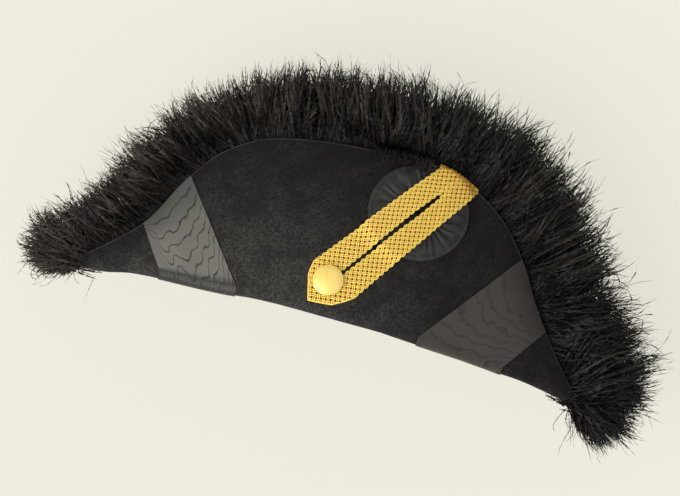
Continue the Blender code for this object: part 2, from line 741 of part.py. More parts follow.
def lay_down(hat):
    """Turns the upright hat onto its far side and centres it over the origin."""
    turn = Matrix.Rotation(math.radians(-90 - REST_TILT), 4, "X")
    hat.matrix_world = Matrix.Translation((0, 0, rest_depth())) @ turn
    bpy.context.view_layer.update()
    solids = [o for o in hat.children if not o.hide_render]
    corners = np.array([(hat.matrix_world @ v.co)[:2] for o in solids for v in o.data.vertices])
    centre = (corners.min(axis=0) + corners.max(axis=0)) / 2
    hat.matrix_world = Matrix.Translation((-centre[0], -centre[1], 0)) @ hat.matrix_world
    bpy.context.view_layer.update()


def build_hat():
    for old in list(bpy.data.objects):
        bpy.data.objects.remove(old)
    hat = bpy.data.objects.new("hat_lying", None)
    bpy.context.scene.collection.objects.link(hat)
    make_brim(hat)
    make_crown(hat)
    for row in BANDS:
        make_band(row, hat)
    make_cockade(hat)
    make_loop(hat)
    make_button(hat)
    make_border("feather_border_near", -1, hat)
    make_border("feather_border_far", 1, hat)
    lay_down(hat)


build_hat()
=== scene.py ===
"""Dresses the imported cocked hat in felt, watered silk, pleated ribbon, gold braid and feather.

Shapes are worked out in the hat's own upright frame: X from the left tip to the right
tip, Z up from the line through the tips, and -Y the near side, which carries the
cockade. laid_down() then puts the points where the frame has the hat, lying on its far
side.
"""

import math

import bmesh
import bpy
import numpy as np
from bpy.props import FloatProperty, FloatVectorProperty, IntProperty, PointerProperty
from mathutils import Matrix, Vector, noise


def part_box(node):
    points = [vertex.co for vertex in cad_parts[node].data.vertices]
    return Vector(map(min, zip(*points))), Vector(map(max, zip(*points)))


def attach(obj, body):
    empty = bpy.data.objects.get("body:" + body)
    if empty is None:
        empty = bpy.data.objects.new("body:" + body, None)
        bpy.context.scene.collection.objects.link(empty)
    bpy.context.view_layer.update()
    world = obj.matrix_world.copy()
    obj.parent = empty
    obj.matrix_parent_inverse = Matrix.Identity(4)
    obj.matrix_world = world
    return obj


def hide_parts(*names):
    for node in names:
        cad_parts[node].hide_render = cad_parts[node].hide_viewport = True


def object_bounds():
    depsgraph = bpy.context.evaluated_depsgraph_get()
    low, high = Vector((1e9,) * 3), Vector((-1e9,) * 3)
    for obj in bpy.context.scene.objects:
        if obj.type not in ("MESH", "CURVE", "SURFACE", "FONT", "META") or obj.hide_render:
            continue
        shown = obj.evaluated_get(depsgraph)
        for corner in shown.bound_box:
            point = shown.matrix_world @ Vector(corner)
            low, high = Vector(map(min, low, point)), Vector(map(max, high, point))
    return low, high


bl_info = {
    "name": "Cocked Hat",
    "version": (1, 0, 0),
    "blender": (4, 5, 0),
    "location": "3D View > Sidebar > Cocked Hat",
    "description": "Felt, ribbons, cockade, gold braid and feathers of a cocked hat",
    "category": "Add Mesh",
}

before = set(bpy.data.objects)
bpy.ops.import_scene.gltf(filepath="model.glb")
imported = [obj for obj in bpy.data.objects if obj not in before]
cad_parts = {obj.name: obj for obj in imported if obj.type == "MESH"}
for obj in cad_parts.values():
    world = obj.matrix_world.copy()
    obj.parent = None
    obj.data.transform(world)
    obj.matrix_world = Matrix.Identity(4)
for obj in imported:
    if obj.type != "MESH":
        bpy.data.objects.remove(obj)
CAD_BOX = [list(corner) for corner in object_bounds()]

# Felt, in metres
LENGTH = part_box("brim")[1].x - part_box("brim")[0].x
HEAD_CENTRE = 0.52  # share of the length from the left tip
MIDDLE_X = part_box("brim")[0].x + HEAD_CENTRE * LENGTH
MIDDLE_Y, MIDDLE_Z = -0.10595, 0.08746  # where the line through the tips lies in the frame
REST_TILT = math.radians(9.0)  # how far the feathered side sinks towards the floor
EDGE_RISE = 0.1714  # highest point of the felt edge above the tips
ARCH_RISE = 0.0162  # middle of the underside above the tips
HEAD_LENGTH = 0.202
HEAD_WIDTH = 0.156
CROWN_DEPTH = 0.116
FELT = 0.0025
CROWN_TO_BRIM = 0.003
FOLD_RADIUS = 0.007
EDGE_HALF_WIDTH = 0.042  # middle plane to the felt edge, where the leaves are widest apart
LEAF_CURVE = 1.6  # power by which a leaf bends in towards its edge

# Brim sections from tip to tip: "along" a share of the length, "edge" of EDGE_RISE,
# "arch" of ARCH_RISE, "fold" of the widest fold and "mouth" of EDGE_HALF_WIDTH.
SECTION_COLUMNS = ("along", "edge", "arch", "fold", "mouth")
SECTIONS = (
    (0.000, 0.030, 0.00, 0.085, 0.16),
    (0.060, 0.163, 0.08, 0.150, 0.24),
    (0.116, 0.316, 0.42, 0.260, 0.34),
    (0.137, 0.405, 0.49, 0.305, 0.38),
    (0.158, 0.522, 0.54, 0.360, 0.43),
    (0.181, 0.630, 0.58, 0.420, 0.48),
    (0.217, 0.758, 0.62, 0.520, 0.57),
    (0.257, 0.845, 0.67, 0.630, 0.67),
    (0.303, 0.912, 0.76, 0.745, 0.78),
    (0.367, 0.955, 0.95, 0.880, 0.91),
    (0.440, 0.984, 1.00, 0.965, 0.98),
    (0.520, 0.999, 1.00, 1.000, 1.00),
    (0.590, 1.000, 1.00, 0.975, 0.98),
    (0.655, 0.984, 0.90, 0.905, 0.91),
    (0.713, 0.928, 0.81, 0.795, 0.81),
    (0.760, 0.850, 0.74, 0.685, 0.71),
    (0.800, 0.748, 0.65, 0.580, 0.61),
    (0.841, 0.600, 0.54, 0.470, 0.51),
    (0.867, 0.480, 0.50, 0.400, 0.45),
    (0.895, 0.371, 0.41, 0.325, 0.38),
    (0.928, 0.253, 0.26, 0.235, 0.29),
    (0.965, 0.133, 0.07, 0.150, 0.22),
    (1.000, 0.030, 0.00, 0.085, 0.16),
)

# Ribbons: shares of the length where each side meets the felt edge and the fold, and
# the way the watered figure runs down the ribbon from its left side to its right.
RIBBON_COLUMNS = ("side", "edge_left", "edge_right", "fold_left", "fold_right", "lines", "figure")
RIBBONS = (
    (
        "left", 0.116, 0.179, 0.171, 0.321, (4.5, 0.17, 0.0, 1.0, 0.80, 0.34, 0.97),
        ((0.0, 0.30), (0.06, 0.50), (0.12, 0.64), (0.22, 1.00), (0.31, 0.84), (0.45, 0.93),
         (0.56, 0.78), (0.67, 0.73), (0.76, 0.60), (0.86, 0.56), (0.93, 0.48), (1.0, 0.42)),
    ),
    (
        "right", 0.825, 0.906, 0.673, 0.844, (7.0, 0.28, 0.25, 0.0, 0.50, 0.10, 0.30),
        ((0.0, 0.60), (0.20, 0.85), (0.30, 1.00), (0.36, 0.96), (0.45, 1.00), (0.60, 0.78),
         (0.70, 0.80), (0.80, 0.45), (0.90, 0.20), (1.0, 0.00)),
    ),
)
RIBBON_LIFT = 0.0004  # underside of the silk above the felt
RIBBON_TOP = 0.0010
RIBBON_RIPPLE = 0.00018
RIBBON_ACROSS, RIBBON_DOWN, RIBBON_ROUND, RIBBON_UNDER = 40, 90, 10, 6  # faces each way
RIBBON_TURN_IN = 0.012
RIBBON_ON_FACE = 0.92  # share of a ribbon's length that lies on the face of the leaf

# Cockade
COCKADE_RADIUS = 0.045
COCKADE_ALONG = 0.612
COCKADE_DROP = 0.002
COCKADE_CROWN = 0.0065  # height of the pleats that the braid climbs onto
COCKADE_PLEATS = 26
COCKADE_EYE = 0.05  # share of the radius left open in the middle, under the braid
PLEAT_BED, PLEAT_SWELL, PLEAT_RISE = 0.0018, 0.0017, 0.0031
CREST = 0.72  # share of a pleat's width at which it stands highest
PLEAT_RINGS, SIDES_OF_A_PLEAT = 34, 14
HEM_STARTS = 0.895  # share of the radius
HEM_RISE = 0.0046
HEM = (  # (share of the radius, share of the hem's rise)
    (0.905, 0.70), (0.915, 0.74), (0.93, 0.76), (0.95, 0.76), (0.97, 0.72),
    (0.985, 0.60), (0.995, 0.38), (1.0, 0.0),
)
COCKADE_BACK = (0.9, 0.05)  # shares of the radius of the rings on its flat back

# Gold braid and button
LOOP_TILT = math.radians(53.6)
LOOP_END = 0.0247
LACE_WIDTH = 0.0248
LACE_WIDTH_TOP = 0.019
LOOP_RAMP = 0.012
SLIT_SEWN = 0.022
BUTTON_ALONG = 0.4826
BUTTON_UP = 0.2795
BUTTON_RADIUS = 0.01375
BUTTON_OFFSET = 0.0025
LACE_THICKNESS = 0.002
LAID = 0.0005  # underside of the braid and the cockade above the felt

# Lower end of the braid: share of the width from the slit, and how far the end stands
# back from its point, as a share of LOOP_END.
LOOP_ENDS = (
    (-1.00, 1.60), (-0.95, 1.02), (-0.72, 0.62), (-0.35, 0.30), (0.00, 0.00),
    (0.35, 0.30), (0.64, 0.57), (0.84, 1.00), (1.00, 1.45),
)

# Feathers: share along the felt edge (below 0 and above 1 in the fans round the tips),
# direction round the tip in degrees, and share of the longest reach.
PLUME_REACH = 0.0743
PLUMES = (
    (-0.16, 262.0, 0.16), (-0.12, 238.0, 0.24), (-0.09, 212.0, 0.44), (-0.06, 188.0, 0.64),
    (-0.03, 160.0, 0.67), (0.00, 136.0, 0.68), (0.10, 0.0, 0.72), (0.20, 0.0, 0.79),
    (0.28, 0.0, 0.78), (0.38, 0.0, 0.90), (0.50, 0.0, 0.97), (0.62, 0.0, 0.94),
    (0.75, 0.0, 1.00), (0.88, 0.0, 0.96), (1.00, 34.0, 1.00), (1.03, 12.0, 0.92),
    (1.06, -14.0, 0.86), (1.09, -38.0, 0.78), (1.12, -56.0, 0.56), (1.15, -72.0, 0.28),
)

# Picture
PICTURE_WIDTH, PICTURE_HEIGHT = 680, 496
METRES_PER_PIXEL = 0.8957e-3
LEFT_TIP_PIXEL = (70.0, 264.0)  # the felt's left tip, from the picture's upper left corner
PICTURE_TURN = math.radians(15.52)  # clockwise turn of the hat in the picture
CAMERA_DISTANCE = 4.6
SENSOR = 36.0
FLOOR_HALF = 12.0
FLOOR_LIGHT = 1.20  # share of full white that the lights alone give the floor
FILL_COLOUR = (1.0, 0.985, 0.95, 1.0)
KEY_TOWARDS, KEY_SPREAD, KEY_COLOUR = (0.55, 0.40, -0.73), math.radians(60), (1.0, 0.985, 0.955)

SEED = 20


def colour_setting(name, description, *default):
    return FloatVectorProperty(
        name=name, description=description, subtype="COLOR", size=3, min=0, max=1, default=default
    )


def length_setting(name, description, default, low, high):
    return FloatProperty(
        name=name, description=description, unit="LENGTH", default=default, min=low, max=high
    )


def count_setting(name, description, default, low, high):
    return IntProperty(name=name, description=description, default=default, min=low, max=high)


def strength_setting(name, description, default, high):
    return FloatProperty(name=name, description=description, default=default, min=0, max=high)


class HatSettings(bpy.types.PropertyGroup):
    """Sizes and colours that a user may change."""

    felt_colour: colour_setting("Felt", "Colour of the felt's nap", 0.0080, 0.0080, 0.0080)
    felt_fleck: colour_setting("Felt flecks", "Lighter fibres in the nap", 0.054, 0.053, 0.049)
    nap_size: length_setting("Nap", "Size of the tufts in the nap", 0.0024, 0.0005, 0.02)
    # The two ribbons are the same silk: the left one's lighter colour is painted light, where the
    # key light from the left catches it.
    ribbon_left: colour_setting("Left ribbon", "Faded silk on the left", 0.127, 0.121, 0.110)
    ribbon_right: colour_setting("Right ribbon", "Silk on the right", 0.053, 0.045, 0.040)
    ribbon_figure: colour_setting("Ribbon figure", "Watered lines", 0.015, 0.0135, 0.012)
    cockade_colour: colour_setting("Cockade", "Pleated ribbon", 0.011, 0.011, 0.0115)
    pleats: count_setting("Pleats", "Number of pleats in the cockade", COCKADE_PLEATS, 8, 60)
    gold_colour: colour_setting("Gold", "Braid where it catches the light", 1.0, 0.74, 0.15)
    gold_shade: colour_setting("Gold shade", "Braid between its crowns", 0.66, 0.25, 0.02)
    braid_strands: count_setting("Strands", "Strands plaited in each run of braid", 8, 4, 16)
    cord_radius: length_setting("Cord", "Radius of one gold cord", 0.00062, 0.0002, 0.002)
    button_colour: colour_setting("Button", "Colour of the gilt button", 1.0, 0.78, 0.235)
    feather_colour: colour_setting("Feather", "Flues near their roots", 0.0050, 0.0046, 0.0044)
    feather_tip: colour_setting("Feather tip", "Flues at their tips", 0.060, 0.048, 0.040)
    locks: count_setting("Locks", "Locks of feather on each leaf", 540, 50, 1200)
    flues: count_setting("Flues", "Flues in each lock", 10, 3, 30)
    barbules: count_setting("Barbules", "Fine hairs on each side of a flue", 19, 0, 60)
    floor_colour: colour_setting("Floor", "Surface the hat lies on", 0.86, 0.84, 0.74)
    floor_glow: strength_setting("Floor glow", "Light of the floor from below", 0.82, 1)
    key_strength: strength_setting("Key light", "Broad light from the left", 2.5, 20)
    fill_strength: strength_setting("Fill", "Even light from all round", 0.68, 5)


# Shader expressions


def operator(operation, reflected=False):
    """A method of Socket that adds one Math node."""

    def method(*values):
        graph = values[0].graph
        values = values[::-1] if reflected else values
        return graph.node("ShaderNodeMath", {"operation": operation}, dict(enumerate(values)))

    return method


class Socket:
    """An output of a shader node. Arithmetic on it adds the Math nodes that it needs."""

    def __init__(self, graph, output):
        self.graph = graph
        self.output = output

    __add__, __radd__ = operator("ADD"), operator("ADD", True)
    __sub__, __rsub__ = operator("SUBTRACT"), operator("SUBTRACT", True)
    __mul__, __rmul__ = operator("MULTIPLY"), operator("MULTIPLY", True)
    __truediv__, __pow__ = operator("DIVIDE"), operator("POWER")
    at_least, at_most = operator("MAXIMUM"), operator("MINIMUM")
    wave, remainder, size = operator("SINE"), operator("FRACT"), operator("ABSOLUTE")

    def stretch(self, low, high, to_low=0.0, to_high=1.0):
        """This value's range from low to high, spread smoothly over another."""
        return self.graph.node(
            "ShaderNodeMapRange",
            {"interpolation_type": "SMOOTHSTEP"},
            {"Value": self, "From Min": low, "From Max": high, "To Min": to_low, "To Max": to_high},
        )


class Graph:
    """The nodes of one material."""

    def __init__(self, name, **constants):
        self.material = bpy.data.materials.new(name)
        self.material.use_nodes = True
        self.tree = self.material.node_tree
        self.shader = self.tree.nodes["Principled BSDF"]
        for socket, value in constants.items():
            self.shader.inputs[socket.replace("_", " ")].default_value = value

    def node(self, kind, settings=None, values=None, output=0):
        """Adds a node: its settings first, then the values or links of its sockets."""
        made = self.tree.nodes.new(kind)
        for name, value in (settings or {}).items():
            if name == "curve":
                self.set_curve(made.mapping, value)
            else:
                setattr(made, name, value)
        for key, value in (values or {}).items():
            self.join(value, made.inputs[key])
        return Socket(self, made.outputs[output])

    @staticmethod
    def set_curve(mapping, points):
        curve = mapping.curves[0]
        for _ in range(len(points) - 2):
            curve.points.new(0.5, 0.5)
        for point, place in zip(curve.points, points):
            point.location = place
        mapping.update()

    def join(self, value, socket):
        if isinstance(value, Socket):
            self.tree.links.new(value.output, socket)
        else:
            socket.default_value = value

    def set(self, name, value):
        self.join(value, self.shader.inputs[name])

    def place(self):
        return self.node("ShaderNodeTexCoord", output="Object")

    def uv(self):
        """The piece's own two coordinates as a pair of values."""
        both = self.node("ShaderNodeTexCoord", output="UV")
        return (
            self.node("ShaderNodeSeparateXYZ", values={0: both}, output=0),
            self.node("ShaderNodeSeparateXYZ", values={0: both}, output=1),
        )

    def pair(self, x, y, z=0.0):
        return self.node("ShaderNodeCombineXYZ", values={0: x, 1: y, 2: z})

    def stored(self, name):
        """A value kept on the mesh."""
        return self.node("ShaderNodeAttribute", {"attribute_name": name}, output="Fac")

    def noise(self, place, size, detail=3.0, roughness=0.55):
        """Noise whose features are about this size, in metres."""
        return self.node(
            "ShaderNodeTexNoise", {},
            {"Vector": place, "Scale": 1.0 / size, "Detail": detail, "Roughness": roughness},
        )

    def mix(self, amount, first, second):
        """A colour between two colours."""
        made = self.tree.nodes.new("ShaderNodeMix")
        made.data_type = "RGBA"
        for value, socket in ((amount, 0), (first, 6), (second, 7)):
            value = (*value, 1.0) if hasattr(value, "__len__") and len(value) == 3 else value
            self.join(value, made.inputs[socket])
        return Socket(self, made.outputs[2])

    def bump(self, height, distance, strength=1.0):
        values = {"Height": height, "Distance": distance, "Strength": strength}
        self.set("Normal", self.node("ShaderNodeBump", {}, values))


# The hat's own surfaces


def smooth(at, known, values):
    """Smooth curve through the values of a table that never swings past them."""
    at, known, values = np.asarray(at, float), np.asarray(known, float), np.asarray(values, float)
    step = np.diff(known)
    slope = np.diff(values) / step
    tangent = np.zeros(len(values))
    rising = slope[:-1] * slope[1:] > 0
    weighted = 2 * slope[:-1] * slope[1:] / np.where(rising, slope[:-1] + slope[1:], 1.0)
    tangent[1:-1] = np.where(rising, weighted, 0.0)
    tangent[0], tangent[-1] = slope[0], slope[-1]
    at = np.clip(at, known[0], known[-1])
    i = np.clip(np.searchsorted(known, at, side="right") - 1, 0, len(step) - 1)
    t = (at - known[i]) / step[i]
    start = (1 + 2 * t) * (1 - t) ** 2 * values[i] + t * (1 - t) ** 2 * step[i] * tangent[i]
    end = t * t * (3 - 2 * t) * values[i + 1] + t * t * (t - 1) * step[i] * tangent[i + 1]
    return start + end


def section(name, x):
    """A column of the brim's sections at x."""
    table = np.array(SECTIONS)
    share = np.asarray(x, float) / LENGTH + HEAD_CENTRE
    return smooth(share, table[:, 0], table[:, SECTION_COLUMNS.index(name)])


def x_at(along):
    return (np.asarray(along, float) - HEAD_CENTRE) * LENGTH


def edge_height(x):
    return EDGE_RISE * section("edge", x)


def under_height(x):
    return ARCH_RISE * section("arch", x)


def fold_half_width(x):
    return (HEAD_WIDTH / 2 + FELT + CROWN_TO_BRIM + FELT) * section("fold", x)


def edge_half_width(x):
    return EDGE_HALF_WIDTH * section("mouth", x)


def fold_radius(x):
    tall = edge_height(x) - under_height(x)
    return np.minimum(FOLD_RADIUS, np.minimum(0.5 * fold_half_width(x), 0.6 * tall))


def leaf_half_width(x, z):
    """Middle plane to the outer face of a leaf, at this height above the tips."""
    low = under_height(x) + fold_radius(x)
    v = np.clip((z - low) / (edge_height(x) - low), 0.0, 1.0)
    return fold_half_width(x) - (fold_half_width(x) - edge_half_width(x)) * v**LEAF_CURVE


def near_normal(x, z):
    """Direction straight out of the near leaf."""
    small = 1e-4
    along = (leaf_half_width(x + small, z) - leaf_half_width(x - small, z)) / (2 * small)
    up = (leaf_half_width(x, z + small) - leaf_half_width(x, z - small)) / (2 * small)
    out = -np.stack([along, np.ones_like(along), up], -1)
    return out / np.linalg.norm(out, axis=-1, keepdims=True)


def near_face(x, z, lift):
    """Points this far out from the near leaf's outer face."""
    x, z, lift = np.broadcast_arrays(x, z, lift)
    face = np.stack([x, -leaf_half_width(x, z), z], -1)
    return face + near_normal(x, z) * lift[..., None]


def on_floor(points):
    """The points with any that would lie under the floor lifted onto it."""
    points = np.array(points, float)
    depth = points[..., 2] * math.sin(REST_TILT) + points[..., 1] * math.cos(REST_TILT)
    over = np.maximum(depth - MIDDLE_Z, 0.0)
    points[..., 1] -= over * math.cos(REST_TILT)
    points[..., 2] -= over * math.sin(REST_TILT)
    return points


def laid_down(points):
    """Points of the upright hat, where the frame has them."""
    points = np.asarray(points, float)
    x, y, z = points[..., 0], points[..., 1], points[..., 2]
    sine, cosine = math.sin(REST_TILT), math.cos(REST_TILT)
    return np.stack(
        [x + MIDDLE_X, cosine * z - sine * y + MIDDLE_Y, MIDDLE_Z - cosine * y - sine * z], -1
    )


def felt_edge(count=600):
    """The near leaf's edge: (share of its length, x, z, direction out in degrees, length)."""
    x = x_at(np.linspace(0, 1, count))
    z = edge_height(x)
    run = np.r_[0, np.cumsum(np.hypot(np.diff(x), np.diff(z)))]
    share = run / run[-1]
    soft = 0.03
    ahead_x = np.interp(share + soft, share, x) - np.interp(share - soft, share, x)
    ahead_z = np.interp(share + soft, share, z) - np.interp(share - soft, share, z)
    return share, x, z, np.degrees(np.arctan2(ahead_x, -ahead_z)), run[-1]


# Meshes


def unit(vectors):
    return vectors / (np.linalg.norm(vectors, axis=-1, keepdims=True) + 1e-12)


def grid_faces(rows, columns, first=0, closed=False, flip=False):
    """Quads over a grid of points. A closed grid's last column joins its first."""
    across = np.arange(columns if closed else columns - 1)
    i, j = np.meshgrid(np.arange(rows - 1), across, indexing="ij")
    low, k = i * columns, (j + 1) % columns
    quads = np.stack([low + j, low + k, low + columns + k, low + columns + j], -1)
    quads = quads.reshape(-1, 4) + first
    return quads[:, ::-1] if flip else quads


def slab_faces(rows, columns):
    """Quads of a closed slab between two grids of points, the lower one first."""
    low = np.arange(rows * columns).reshape(rows, columns)
    rim = np.concatenate([low[0], low[1:, -1], low[-1, -2::-1], low[-2:0:-1, 0]])
    after = np.roll(rim, -1)
    side = np.stack([rim, after, after + rows * columns, rim + rows * columns], -1)
    high = grid_faces(rows, columns, rows * columns, flip=True)
    return np.concatenate([grid_faces(rows, columns), high, side[:, ::-1]])


def angles(count):
    """Evenly round a circle."""
    return np.linspace(0, 2 * math.pi, count, endpoint=False)


def pairs(across, at):
    """One row of a mesh's two coordinates, with the second the same for all."""
    return np.column_stack([across, np.full(len(across), at)])


def store(mesh, name, values):
    """Keeps one value for each point of the mesh."""
    made = mesh.attributes.new(name, "FLOAT", "POINT")
    made.data.foreach_set("value", np.asarray(values, np.float32))


def mesh_of(name, points, faces, uv=None, stored=None):
    """A smooth mesh from arrays, with a pair of coordinates and values for each point."""
    points, faces = np.asarray(points, np.float32), np.asarray(faces, np.int32)
    mesh = bpy.data.meshes.new(name)
    mesh.vertices.add(len(points))
    mesh.vertices.foreach_set("co", points.ravel())
    mesh.loops.add(faces.size)
    mesh.loops.foreach_set("vertex_index", faces.ravel())
    mesh.polygons.add(len(faces))
    starts = np.arange(0, faces.size, faces.shape[1], dtype=np.int32)
    mesh.polygons.foreach_set("loop_start", starts)
    mesh.update(calc_edges=True)
    if uv is not None:
        layer = mesh.uv_layers.new(name="UVMap")
        layer.data.foreach_set("uv", np.asarray(uv, np.float32)[faces.ravel()].ravel())
    for key, values in (stored or {}).items():
        store(mesh, key, values)
    mesh.shade_smooth()
    return mesh


def placed(name, data):
    """A new object in the scene."""
    made = bpy.data.objects.new(name, data)
    bpy.context.scene.collection.objects.link(made)
    return made


def add_piece(name, mesh, material, replaced=()):
    """A piece of the hat that rides on its body."""
    piece = placed(name, mesh)
    mesh.materials.clear()
    mesh.materials.append(material)
    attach(piece, "root")
    if replaced:
        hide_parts(*replaced)
    return piece


def facing_out(mesh, merged=False):
    """Turns the faces of a closed mesh outwards, and can merge points that coincide first."""
    work = bmesh.new()
    work.from_mesh(mesh)
    if merged:
        bmesh.ops.remove_doubles(work, verts=work.verts, dist=1e-6)
    bmesh.ops.recalc_face_normals(work, faces=work.faces)
    work.to_mesh(mesh)
    work.free()
    return mesh


def settings():
    return bpy.context.scene.cocked_hat


# Felt

BRIM_STATIONS = 220
FLOOR_ROWS, FOLD_ROWS, LEAF_ROWS, RIM_ROWS = 12, 7, 30, 6
OPENING_SIDES = 96
CROWN_SIDES, CROWN_RINGS = 96, 34
GAP = 0.0003  # clearance between pieces that touch
# EDGE_LINE is also the width of the painted highlight along the felt edge.
EDGE_LINE = 0.0009  # width of the paler line just inside the felt edge
NAP_RISE = 0.00012
# Dust and painted light on the felt, lighter on the left of the hat and down towards the fold:
# places along the hat and down its leaves, and the share there.
DUST_AND_LIGHT_ALONG = ((0.0, 0.45, 0.60, 0.71, 1.0), (0.9, 1.0, 0.55, 0.10, 0.0))
DUST_AND_LIGHT_DOWN = ((0.0, 0.25, 0.5, 0.8, 1.0), (0.0, 0.10, 0.42, 0.85, 1.0))


def felt_material(name, extra_tone):
    """Mottled nap with lighter fibres. Brim felt is lighter low down and on the left with dust and
    painted light, and paler along its edge with a painted highlight.
    """
    hat = settings()
    graph = Graph(
        name, Roughness=0.94, Specular_IOR_Level=0.10, Sheen_Weight=0.04, Sheen_Roughness=0.5
    )
    place = graph.place()
    tufts = graph.noise(place, hat.nap_size, 4.0, 0.7)
    patches = graph.noise(place, hat.nap_size * 9, 3.0, 0.6)
    grain = graph.noise(place, hat.nap_size * 0.35, 2.0, 0.8)
    mottle = (tufts * 0.5 + grain * 0.5).stretch(0.42, 0.60)
    cover = mottle * patches.stretch(0.35, 0.65, 0.10, 0.36)
    if extra_tone:
        # Dust and painted light lighten the felt low down and on the left; a painted highlight
        # pales its edge.
        dust = graph.stored("dust") * mottle.stretch(0.0, 1.0, 0.30, 1.1)
        cover = cover + dust * patches.stretch(0.35, 0.65, 0.6, 1.1)
        edge = graph.stored("edge") * patches.stretch(0.35, 0.65, 0.5, 1.0)
        cover = (cover + edge).at_most(1.0)
    graph.set("Base Color", graph.mix(cover, tuple(hat.felt_colour), tuple(hat.felt_fleck)))
    graph.bump(tufts * 0.6 + grain * 0.4, 0.0010, 0.8)
    return graph.material


def brim_outline(x):
    """The brim cut across at x, as one closed ring of (y, z)."""
    radius = float(fold_radius(x))
    wide, low, top = float(fold_half_width(x)), float(under_height(x)), float(edge_height(x))
    round_off = FELT / 2
    half = [((wide - radius) * i / FLOOR_ROWS, low) for i in range(FLOOR_ROWS + 1)]
    for i in range(1, FOLD_ROWS):
        turn = math.radians(90 * i / FOLD_ROWS)
        over, up = radius * math.sin(turn), radius * math.cos(turn)
        half.append((wide - radius + over, low + radius - up))
    rim_z = top - round_off
    z = np.r_[np.linspace(low + radius, rim_z - EDGE_LINE, LEAF_ROWS), rim_z]
    half += list(zip(leaf_half_width(x, z), z))
    half = np.array(half)
    ahead = np.gradient(half, axis=0)
    ahead[0] = (1.0, 0.0)
    ahead /= np.linalg.norm(ahead, axis=1)[:, None]
    inward = np.stack([-ahead[:, 1], ahead[:, 0]], -1)
    inner = half + inward * FELT
    turns = np.radians(np.arange(1, RIM_ROWS) * 180 / RIM_ROWS)[:, None]
    rim = half[-1] + inward[-1] * round_off
    rim = rim - inward[-1] * round_off * np.cos(turns) + ahead[-1] * round_off * np.sin(turns)
    side = np.concatenate([half, rim, inner[::-1]])
    other = side[::-1] * (-1, 1)
    return np.concatenate([side, other[1:-1]])


def oval_prism(name, low, high):
    """A closed prism over the oval of the head opening."""
    turns = angles(OPENING_SIDES)
    x = (HEAD_LENGTH / 2 + FELT + GAP) * np.cos(turns)
    y = (HEAD_WIDTH / 2 + FELT + GAP) * np.sin(turns)
    points = [np.stack([x, y, np.full_like(x, z)], -1) for z in (low, high)]
    mesh = bpy.data.meshes.new(name)
    count = OPENING_SIDES
    faces = [(i, (i + 1) % count, count + (i + 1) % count, count + i) for i in range(count)]
    faces += [tuple(range(count))[::-1], tuple(range(count, 2 * count))]
    mesh.from_pydata(np.concatenate(points).tolist(), [], faces)
    return placed(name, facing_out(mesh))


def cut_out(mesh, cutter):
    """The mesh with the cutter's volume taken away."""
    work = placed("felt_work", mesh)
    cut = work.modifiers.new("opening", "BOOLEAN")
    cut.operation = "DIFFERENCE"
    cut.object = cutter
    bpy.context.view_layer.update()
    evaluated = work.evaluated_get(bpy.context.evaluated_depsgraph_get())
    done = bpy.data.meshes.new_from_object(evaluated)
    bpy.data.objects.remove(work)
    bpy.data.objects.remove(cutter)
    return done


def nap_and_place(mesh):
    """Makes felt slightly uneven, stores its dust with painted light and its painted edge
    highlight, and lays it down.
    """
    count = len(mesh.vertices)
    points, normals = np.zeros(count * 3), np.zeros(count * 3)
    mesh.vertices.foreach_get("co", points)
    mesh.vertices.foreach_get("normal", normals)
    points, normals = points.reshape(-1, 3), normals.reshape(-1, 3)
    fine = [noise.noise(Vector(p) * 90) + 0.5 * noise.noise(Vector(p) * 420) for p in points]
    moved = on_floor(points + normals * (np.array(fine) * NAP_RISE)[:, None])
    below_edge = edge_height(points[:, 0]) - points[:, 2]
    # Stores the painted highlight just inside the felt edge, then the dust and painted light
    # towards the fold and on the left.
    store(mesh, "edge", np.clip((FELT / 2 + EDGE_LINE - below_edge) / EDGE_LINE, 0, 1))
    low = np.clip(below_edge / np.maximum(edge_height(points[:, 0]), 0.03), 0, 1)
    along = points[:, 0] / LENGTH + HEAD_CENTRE
    store(mesh, "dust", np.interp(along, *DUST_AND_LIGHT_ALONG) * np.interp(low, *DUST_AND_LIGHT_DOWN))
    mesh.vertices.foreach_set("co", laid_down(moved).astype(np.float32).ravel())
    mesh.update()
    mesh.shade_smooth()
    return mesh


